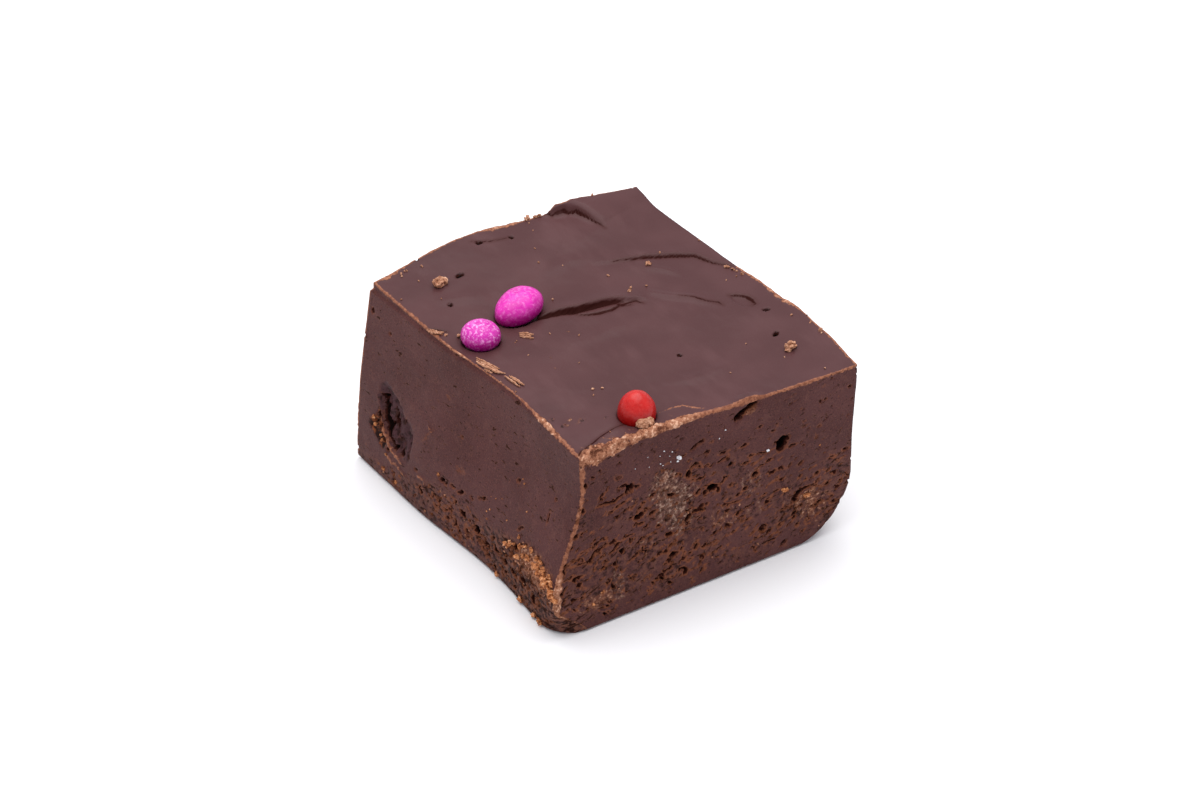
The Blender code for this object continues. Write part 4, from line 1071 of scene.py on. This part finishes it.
def crumb_tree(name):
    """Nodes that strew crumbs over a surface where its crumbs attribute says so."""
    tree = bpy.data.node_groups.new(name, "GeometryNodeTree")
    sockets = {
        "Geometry": "NodeSocketGeometry", "Finish": "NodeSocketMaterial", "Most crumbs": "NodeSocketFloat",
        "Smallest": "NodeSocketFloat", "Largest": "NodeSocketFloat", "Gathering": "NodeSocketFloat",
        "Seed": "NodeSocketInt",
    }
    for socket, kind in sockets.items():
        tree.interface.new_socket(socket, in_out="INPUT", socket_type=kind)
    tree.interface.new_socket("Geometry", in_out="OUTPUT", socket_type="NodeSocketGeometry")

    def node(kind, settings=None, values=None):
        """The outputs of a new node."""
        made = tree.nodes.new(kind)
        for key, value in (settings or {}).items():
            setattr(made, key, value)
        for key, value in (values or {}).items():
            if isinstance(value, bpy.types.NodeSocket):
                tree.links.new(value, made.inputs[key])
            else:
                made.inputs[key].default_value = value
        return made.outputs

    given = node("NodeGroupInput")
    cover = node("GeometryNodeInputNamedAttribute", {"data_type": "FLOAT"}, {"Name": "crumbs"})[0]
    gathered = node("ShaderNodeMath", {"operation": "POWER"}, {0: cover, 1: given["Gathering"]})[0]
    density = node("ShaderNodeMath", {"operation": "MULTIPLY"}, {0: gathered, 1: given["Most crumbs"]})[0]
    places = node(
        "GeometryNodeDistributePointsOnFaces", {"distribute_method": "RANDOM"},
        {"Mesh": given["Geometry"], "Density": density, "Seed": given["Seed"]},
    )["Points"]

    ball = node("GeometryNodeMeshIcoSphere", None, {"Radius": 1.0, "Subdivisions": 1})["Mesh"]
    lumpy = node("ShaderNodeTexNoise", {"noise_dimensions": "3D"}, {"Scale": 1.1, "Detail": 2.0})["Color"]
    centred = node("ShaderNodeVectorMath", {"operation": "SUBTRACT"}, {0: lumpy, 1: (0.5, 0.5, 0.5)})[0]
    pushed = node("ShaderNodeVectorMath", {"operation": "SCALE"}, {0: centred, "Scale": 2.4})[0]
    crumb = node("GeometryNodeSetPosition", None, {"Geometry": ball, "Offset": pushed})[0]

    size = node(
        "FunctionNodeRandomValue", {"data_type": "FLOAT"},
        {2: given["Smallest"], 3: given["Largest"], "Seed": given["Seed"]},
    )[1]
    any_vector = {"data_type": "FLOAT_VECTOR"}
    stretch = node("FunctionNodeRandomValue", any_vector, {0: (0.6, 0.6, 0.4), 1: (1.6, 1.1, 0.9)})[0]
    scale = node("ShaderNodeVectorMath", {"operation": "SCALE"}, {0: stretch, "Scale": size})[0]
    spin = node("FunctionNodeRandomValue", any_vector, {1: (FULL_TURN,) * 3})[0]
    strewn = node(
        "GeometryNodeInstanceOnPoints", None,
        {"Points": places, "Instance": crumb, "Rotation": spin, "Scale": scale},
    )[0]
    solid = node("GeometryNodeRealizeInstances", None, {"Geometry": strewn})[0]
    dressed = node("GeometryNodeSetMaterial", None, {"Geometry": solid, "Material": given["Finish"]})[0]
    node("NodeGroupOutput", None, {"Geometry": dressed})
    return tree


def strew_crumbs(name, surface, tree, values):
    """A piece made of the crumbs that the tree strews over a copy of the surface."""
    carrier = add_piece(f"{name}_carrier", surface.data.copy())
    strewing = carrier.modifiers.new("crumbs", "NODES")
    strewing.node_group = tree
    for item in tree.interface.items_tree:
        if item.in_out == "INPUT" and item.name in values:
            strewing[item.identifier] = values[item.name]
    evaluated = carrier.evaluated_get(bpy.context.evaluated_depsgraph_get())
    mesh = bpy.data.meshes.new_from_object(evaluated)
    mesh.name = name
    bpy.data.objects.remove(carrier)
    return add_piece(name, mesh)


# Finishes

class Value:
    """A socket of a material, with Python's arithmetic for numbers."""

    def __init__(self, finish, socket):
        self.finish, self.socket = finish, socket

    def math(self, operation, first, second):
        return self.finish.node("ShaderNodeMath", {"operation": operation}, {0: first, 1: second})

    def __add__(self, other):
        return self.math("ADD", self, other)

    def __mul__(self, other):
        return self.math("MULTIPLY", self, other)

    def __sub__(self, other):
        return self.math("SUBTRACT", self, other)

    def __rsub__(self, other):
        return self.math("SUBTRACT", other, self)

    __radd__, __rmul__ = __add__, __mul__

    def between(self, low, high):
        """0 below low, 1 above high, smooth between."""
        settings = {"interpolation_type": "SMOOTHSTEP"}
        return self.finish.node("ShaderNodeMapRange", settings, {"Value": self, 1: low, 2: high})


class Finish:
    """A material under construction, on one Principled shader."""

    def __init__(self, name):
        self.material = bpy.data.materials.new(name)
        self.material.use_nodes = True
        self.tree = self.material.node_tree
        self.shader = self.tree.nodes["Principled BSDF"]

    def node(self, kind, settings=None, values=None, output=0):
        made = self.tree.nodes.new(kind)
        for key, value in (settings or {}).items():
            setattr(made, key, value)
        for key, value in (values or {}).items():
            self.put(made.inputs[key], value)
        return Value(self, made.outputs[output])

    def put(self, socket, value):
        if isinstance(value, Value):
            self.tree.links.new(value.socket, socket)
        elif isinstance(value, tuple) and len(value) == 3 and socket.type == "RGBA":
            socket.default_value = (*value, 1.0)
        else:
            socket.default_value = value

    def mark(self, name):
        """A mark of the mesh, kept in an attribute."""
        return self.node("ShaderNodeAttribute", {"attribute_name": name}, output=2)

    def place(self, stretch=(1.0, 1.0, 1.0), rise=0.0):
        """Object coordinates, stretched along axes that rise to the right by so many degrees."""
        coordinates = self.node("ShaderNodeTexCoord", output=3)
        turn = (0.0, -math.radians(rise), 0.0)
        values = {"Vector": coordinates, "Rotation": turn, "Scale": stretch}
        return self.node("ShaderNodeMapping", {"vector_type": "TEXTURE"}, values)

    def noise(self, length, detail=3.0, rough=0.55, where=None):
        """Noise from 0 to 1 with lumps of the given length in millimetres."""
        where = where or self.place()
        values = {"Vector": where, "Scale": 1.0 / (length * MM), "Detail": detail, "Roughness": rough}
        return self.node("ShaderNodeTexNoise", {}, values)

    def cells(self, length):
        """Distance from the middle of the nearest of scattered cells."""
        values = {"Vector": self.place(), "Scale": 1.0 / (length * MM)}
        return self.node("ShaderNodeTexVoronoi", {}, values)

    def blend(self, amount, first, second):
        """The first colour, or the second as far as the amount goes."""
        return self.node("ShaderNodeMix", {"data_type": "RGBA"}, {0: amount, 6: first, 7: second}, 2)

    def bump(self, height, strength=1.0):
        """A bump from heights in millimetres."""
        return self.node("ShaderNodeBump", {}, {"Height": height, "Strength": strength, "Distance": MM})

    def set(self, **values):
        for name, value in values.items():
            self.put(self.shader.inputs[name.replace("_", " ")], value)


def srgb(red, green, blue):
    """A linear colour from one given as a screen shows it, 0 to 255."""
    shares = (red / 255, green / 255, blue / 255)
    return tuple(c / 12.92 if c <= 0.04045 else ((c + 0.055) / 1.055) ** 2.4 for c in shares)


def fudge_finish():
    """Set fudge: a satin skin, dull cuts torn into pores, and rims bruised to a ragged tan; pores, slits,
    creases, holes and the hollow are darkened with painted shade.
    """
    f = Finish("fudge")
    tone = {name: srgb(*screen) for name, screen in FUDGE_TONES.items()}
    slow, quick, crag = f.noise(7.0, 2.0), f.noise(1.1, 4.0), f.noise(0.55, 4.0, 0.6)
    speck, fine = f.noise(0.34, 3.0, 0.65), f.noise(0.13, 2.0)
    torn = f.noise(0.30, 3.0, 0.6) - 0.5
    cut = (1.0 - f.mark("skin")) * (1.0 - 0.7 * f.mark("pan"))
    rough, crumbly = f.mark("rough") * (0.6 + 0.8 * quick), f.mark("crumbly")

    # The marked places, their borders torn by fine noise
    hole = (f.mark("pit") + torn * 0.22).between(-0.02, 0.05)
    lip = (f.mark("pit") + torn * 0.4).between(-0.15, -0.02)
    rim = (f.mark("rim") + torn * 0.55).between(-0.05, 0.07)
    crease = (f.mark("crease") + torn * 0.10).between(-0.08, 0.05)
    hollow = (f.mark("hollow") + torn * 0.9).between(-0.15, 0.30)
    pocket = (f.mark("pocket") + torn * 1.0).between(-0.15, 0.15)

    # The skin, smeared as it set and lightened in the paler smears by painted sheen, and the plain cut
    smear_and_sheen = f.noise(3.2, 4.0, where=f.place((1.0, 2.6, 1.0)))
    colour = f.blend(slow.between(0.35, 0.7), tone["skin"], tone["worn skin"])
    # Paler smears across the skin: partly real smears, partly painted sheen
    colour = f.blend(smear_and_sheen.between(0.5, 0.75) * 0.45, colour, tone["skin smears and painted sheen"])
    cut_colour = f.blend(slow.between(0.3, 0.7), tone["cut"], tone["dull cut"])
    cut_colour = f.blend(quick.between(0.52, 0.72) * 0.5, cut_colour, tone["dry cut"])
    colour = f.blend(cut, colour, cut_colour)

    # Slits that the knife drew out, gaps, grain and the finest pores, with painted shade in the slits, gaps
    # and pores and in the sunken bits of grain, and painted highlight on its raised bits
    drawn = f.noise(0.34, 3.0, 0.6, f.place((3.4, 3.4, 1.0), 17.0))
    porous = drawn + rough * 0.12
    slit = porous.between(0.645, 0.69) * cut * (1.0 - hollow)
    colour = f.blend(porous.between(0.61, 0.66) * cut * 0.55, colour, tone["torn line"])
    colour = f.blend(rough * crag.between(0.42, 0.62) * 0.8, colour, tone["rough"])
    # Painted shade: dark gaps between the raised crags of rough places
    gap = (rough * 0.13 - crag).between(-0.37, -0.30) * rough.between(0.05, 0.3)
    colour = f.blend(gap * 0.85, colour, tone["gap"])
    # Painted highlight on the raised bits of grain and painted shade in the sunken ones, following the fine
    # bump
    colour = f.blend(fine.between(0.52, 0.75) * cut * 0.5, colour, tone["painted highlight on grain"])
    colour = f.blend(fine.between(0.46, 0.26) * cut * 0.45, colour, tone["painted shade in grain"])
    pores = f.cells(0.42).between(0.26, 0.12) * speck.between(0.45, 0.6) * cut
    # Painted shade: the finest pores are coloured dark
    colour = f.blend(pores * 0.8, colour, tone["painted shade in pores"])
    # Painted shade: the slits are coloured dark
    colour = f.blend(slit * 0.9, colour, tone["slit"])

    # Patches frosted with sugar, and tan ones
    frosted = (f.mark("frost") * 0.34 + crag * 0.5 + speck * 0.4 + fine * 0.2).between(0.62, 0.96)
    frosted = frosted * f.mark("frost").between(0.0, 0.7)
    frost = f.blend((speck * 0.6 + crag * 0.4).between(0.50, 0.62), tone["thin frost"], tone["frost"])
    colour = f.blend(frosted * 0.72, colour, frost)
    tan = f.blend(speck.between(0.40, 0.58), tone["deep tan"], tone["tan"])
    tan = f.blend(speck.between(0.56, 0.70), tan, tone["pale tan"])
    patch = (f.mark("tan") * 0.6 + crag * 0.9).between(0.62, 0.86) * f.mark("tan").between(0.0, 0.3)
    colour = f.blend(patch * 0.9, colour, tan)

    # The hollow and its pocket, coloured dark with painted shade, the rims and the crumbly places
    hollow_colour = f.blend(crag.between(0.36, 0.54), tone["hollow"], tone["hollow ridge"])
    colour = f.blend(hollow * 0.85, colour, hollow_colour)
    pocket_colour = f.blend(crag.between(0.44, 0.60), tone["pocket"], tone["pocket ridge"])
    colour = f.blend(pocket * 0.9, colour, pocket_colour)
    rim_colour = f.blend(speck.between(0.35, 0.65), tone["deep rim"], tone["rim"])
    colour = f.blend(rim * 0.88, colour, rim_colour)
    # Crumbly places follow their lumps: darker where low, partly painted shade; paler where raised, partly
    # dried crumbs and partly painted highlight
    raised = f.mark("lumps") * 0.6 + (speck - 0.5) * 2.4
    crumb = f.blend(raised.between(-0.35, 0.0), tone["dark crumb and painted shade"], tone["crumb"])
    crumb = f.blend(raised.between(0.14, 0.50), crumb, tone["dried crumb and painted highlight"])
    colour = f.blend(crumbly.between(0.12, 0.5), colour, crumb)

    # Creases and holes, darkened with painted shade that also lies on the skin beside each crease, and the
    # lips of holes
    colour = f.blend(f.mark("crease").between(-0.50, 0.05) * 0.55, colour, tone["painted shade beside creases"])
    colour = f.blend(crease * 0.9, colour, tone["crease"])
    lip_colour = f.blend(cut, tone["skin lip"], tone["cut lip"])
    lip = lip * (1.0 - hole) * (1.0 - 0.7 * hollow) * (0.5 + 0.5 * rough.between(0.0, 0.15))
    colour = f.blend(lip * 0.8, colour, lip_colour)
    # Painted shade: the walls of holes dark, their depths near black
    colour = f.blend(hole * 0.95, colour, tone["pit wall in painted shade"])
    colour = f.blend(f.mark("pit").between(0.04, 0.11), colour, tone["hole"])

    # The sheen lies on the skin alone, fainter on the cuts, and not on what is torn
    roughness = 0.42 + cut * 0.18 + (crumbly + crease + hole) * 0.2 + (slow - 0.5) * 0.1
    whole = (1.0 - crease) * (1.0 - hole) * (1.0 - crumbly) * (1.0 - slit)
    height = cut * (fine * 0.042 + quick * 0.10) + (rough + crumbly) * crag * 0.32 + speck * cut * 0.07
    height = height + rim * speck * 0.08 - slit * 0.12 - pores * 0.08 - hole * 0.15 - gap * 0.08
    height = height + f.noise(0.9, 2.0) * 0.016 + fine * 0.007 + smear_and_sheen * 0.05
    f.set(Base_Color=colour, Roughness=roughness, Normal=f.bump(height, 0.8))
    f.set(Coat_Weight=(0.28 - cut * 0.14) * whole, Coat_Roughness=0.30, Coat_IOR=1.4)
    f.set(Specular_IOR_Level=0.05, IOR=1.4)
    return f.material


def crumb_finish(name):
    """Bruised crumbs: pale where they are dry, darker in their dents."""
    f = Finish(name)
    deep, main, dry = (srgb(*screen) for screen in CRUMB_TONES[name])
    speck = f.noise(0.34, 3.0, 0.65)
    colour = f.blend(speck.between(0.36, 0.56), deep, main)
    colour = f.blend(speck.between(0.56, 0.72), colour, dry)
    f.set(Base_Color=colour, Roughness=0.75, Normal=f.bump(f.noise(0.14, 3.0) * 0.05), Specular_IOR_Level=0.3)
    return f.material


def sugar_finish(name):
    """A sugar shell: one strong colour, deepened by painted shade on the lower flanks, and mottled paler,
    most of all on the crown, partly as painted highlight.
    """
    f = Finish(name)
    *tones, mottling = SHELL_TONES[name]
    deep, main, pale = (srgb(*screen) for screen in tones)
    mottle = f.noise(0.30, 4.0, 0.65)
    dots = f.cells(0.34).between(0.24, 0.10) * f.noise(1.2, 2.0).between(0.42, 0.62)
    lit_crown = f.mark("crown").between(-0.1, 0.7)
    # Painted shade deepens the lower flanks; pale mottles gather on the crown, partly as painted highlight
    colour = f.blend(lit_crown * (0.55 + f.noise(1.4, 3.0).between(0.32, 0.68) * 0.45), deep, main)
    colour = f.blend(mottle.between(0.48, 0.68) * (0.3 + lit_crown * 0.7) * mottling, colour, pale)
    colour = f.blend(dots * (0.3 + lit_crown * 0.7) * mottling, colour, pale)
    height = mottle * 0.018 + f.noise(0.16, 2.0) * 0.008
    f.set(Base_Color=colour, Roughness=0.22 + mottle * 0.14, Normal=f.bump(height))
    f.set(Specular_IOR_Level=0.38, IOR=1.5)
    return f.material


def crystal_finish():
    f = Finish("sugar_crystal")
    f.set(Base_Color=f.blend(f.noise(0.2), *(srgb(*screen) for screen in CRYSTAL_TONES)), Roughness=0.3)
    return f.material


def floor_finish():
    f = Finish("white_table")
    f.set(Base_Color=f.blend(f.noise(60.0, 2.0), *TABLE_COLOURS), Roughness=0.6)
    f.set(Specular_IOR_Level=0.2)
    return f.material


# Table, light and camera

def aim(obj, place, target):
    """Put a lamp or camera at a place and point it at a target, both in millimetres."""
    obj.location = Vector(place) * MM
    obj.rotation_euler = (Vector(target) - Vector(place)).to_track_quat("-Z", "Y").to_euler()


def set_table_and_light():
    bm = bmesh.new()
    bmesh.ops.create_grid(bm, x_segments=2, y_segments=2, size=TABLE_HALF)
    table = piece_from("table", bm, False)
    table.data.materials.append(floor_finish())
    world = bpy.data.worlds.new("room")
    bpy.context.scene.world = world
    world.use_nodes = True
    walls = world.node_tree.nodes["Background"]
    walls.inputs["Color"].default_value = ROOM_COLOUR
    walls.inputs["Strength"].default_value = ROOM_STRENGTH
    lamp = bpy.data.lights.new("softbox", "AREA")
    lamp.shape, lamp.size, lamp.energy, lamp.color = "DISK", LAMP_WIDTH * MM, LAMP_POWER, LAMP_COLOUR
    softbox = bpy.data.objects.new("softbox", lamp)
    bpy.context.scene.collection.objects.link(softbox)
    aim(softbox, LAMP_PLACE, VIEW_TARGET)
    bpy.context.scene.view_settings.view_transform = "Standard"


def set_camera():
    azimuth, elevation = math.radians(VIEW_AZIMUTH), math.radians(VIEW_ELEVATION)
    back = Vector((
        math.sin(azimuth) * math.cos(elevation), -math.cos(azimuth) * math.cos(elevation), math.sin(elevation)
    ))
    data = bpy.data.cameras.new("camera")
    data.lens, data.sensor_width, data.clip_start = VIEW_LENS, 36.0, 0.01
    camera = bpy.data.objects.new("camera", data)
    bpy.context.scene.collection.objects.link(camera)
    aim(camera, Vector(VIEW_TARGET) + back * VIEW_DISTANCE, VIEW_TARGET)
    bpy.context.scene.camera = camera


def belong(piece, finish=None):
    """The piece goes with the block, and takes the finish in place of any it had, if one is given."""
    if finish:
        piece.data.materials.clear()
        piece.data.materials.append(finish)
    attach(piece, "root")
    return piece


def main():
    set_camera()
    set_table_and_light()
    fudge = belong(make_fudge(), fudge_finish())
    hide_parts("fudge_block")
    for name, (*form, shell) in BEADS.items():
        bead = belong(make_bead(name, *form), sugar_finish(shell))
        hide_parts(name)
    tree = crumb_tree("strewn_crumbs")
    for name, (finish, most, smallest, largest, gathering, seed) in STREWN_CRUMBS.items():
        values = {
            "Finish": crumb_finish(finish), "Most crumbs": most, "Smallest": smallest, "Largest": largest,
            "Gathering": gathering, "Seed": seed,
        }
        belong(strew_crumbs(name, fudge, tree, values))
    pale = crumb_finish("pale_crumbs")
    belong(make_skin_crumbs(), pale)
    belong(make_wall_lumps(), crumb_finish("lump_crumbs"))
    belong(make_shavings(), pale)
    belong(make_crystals(), crystal_finish())


main()
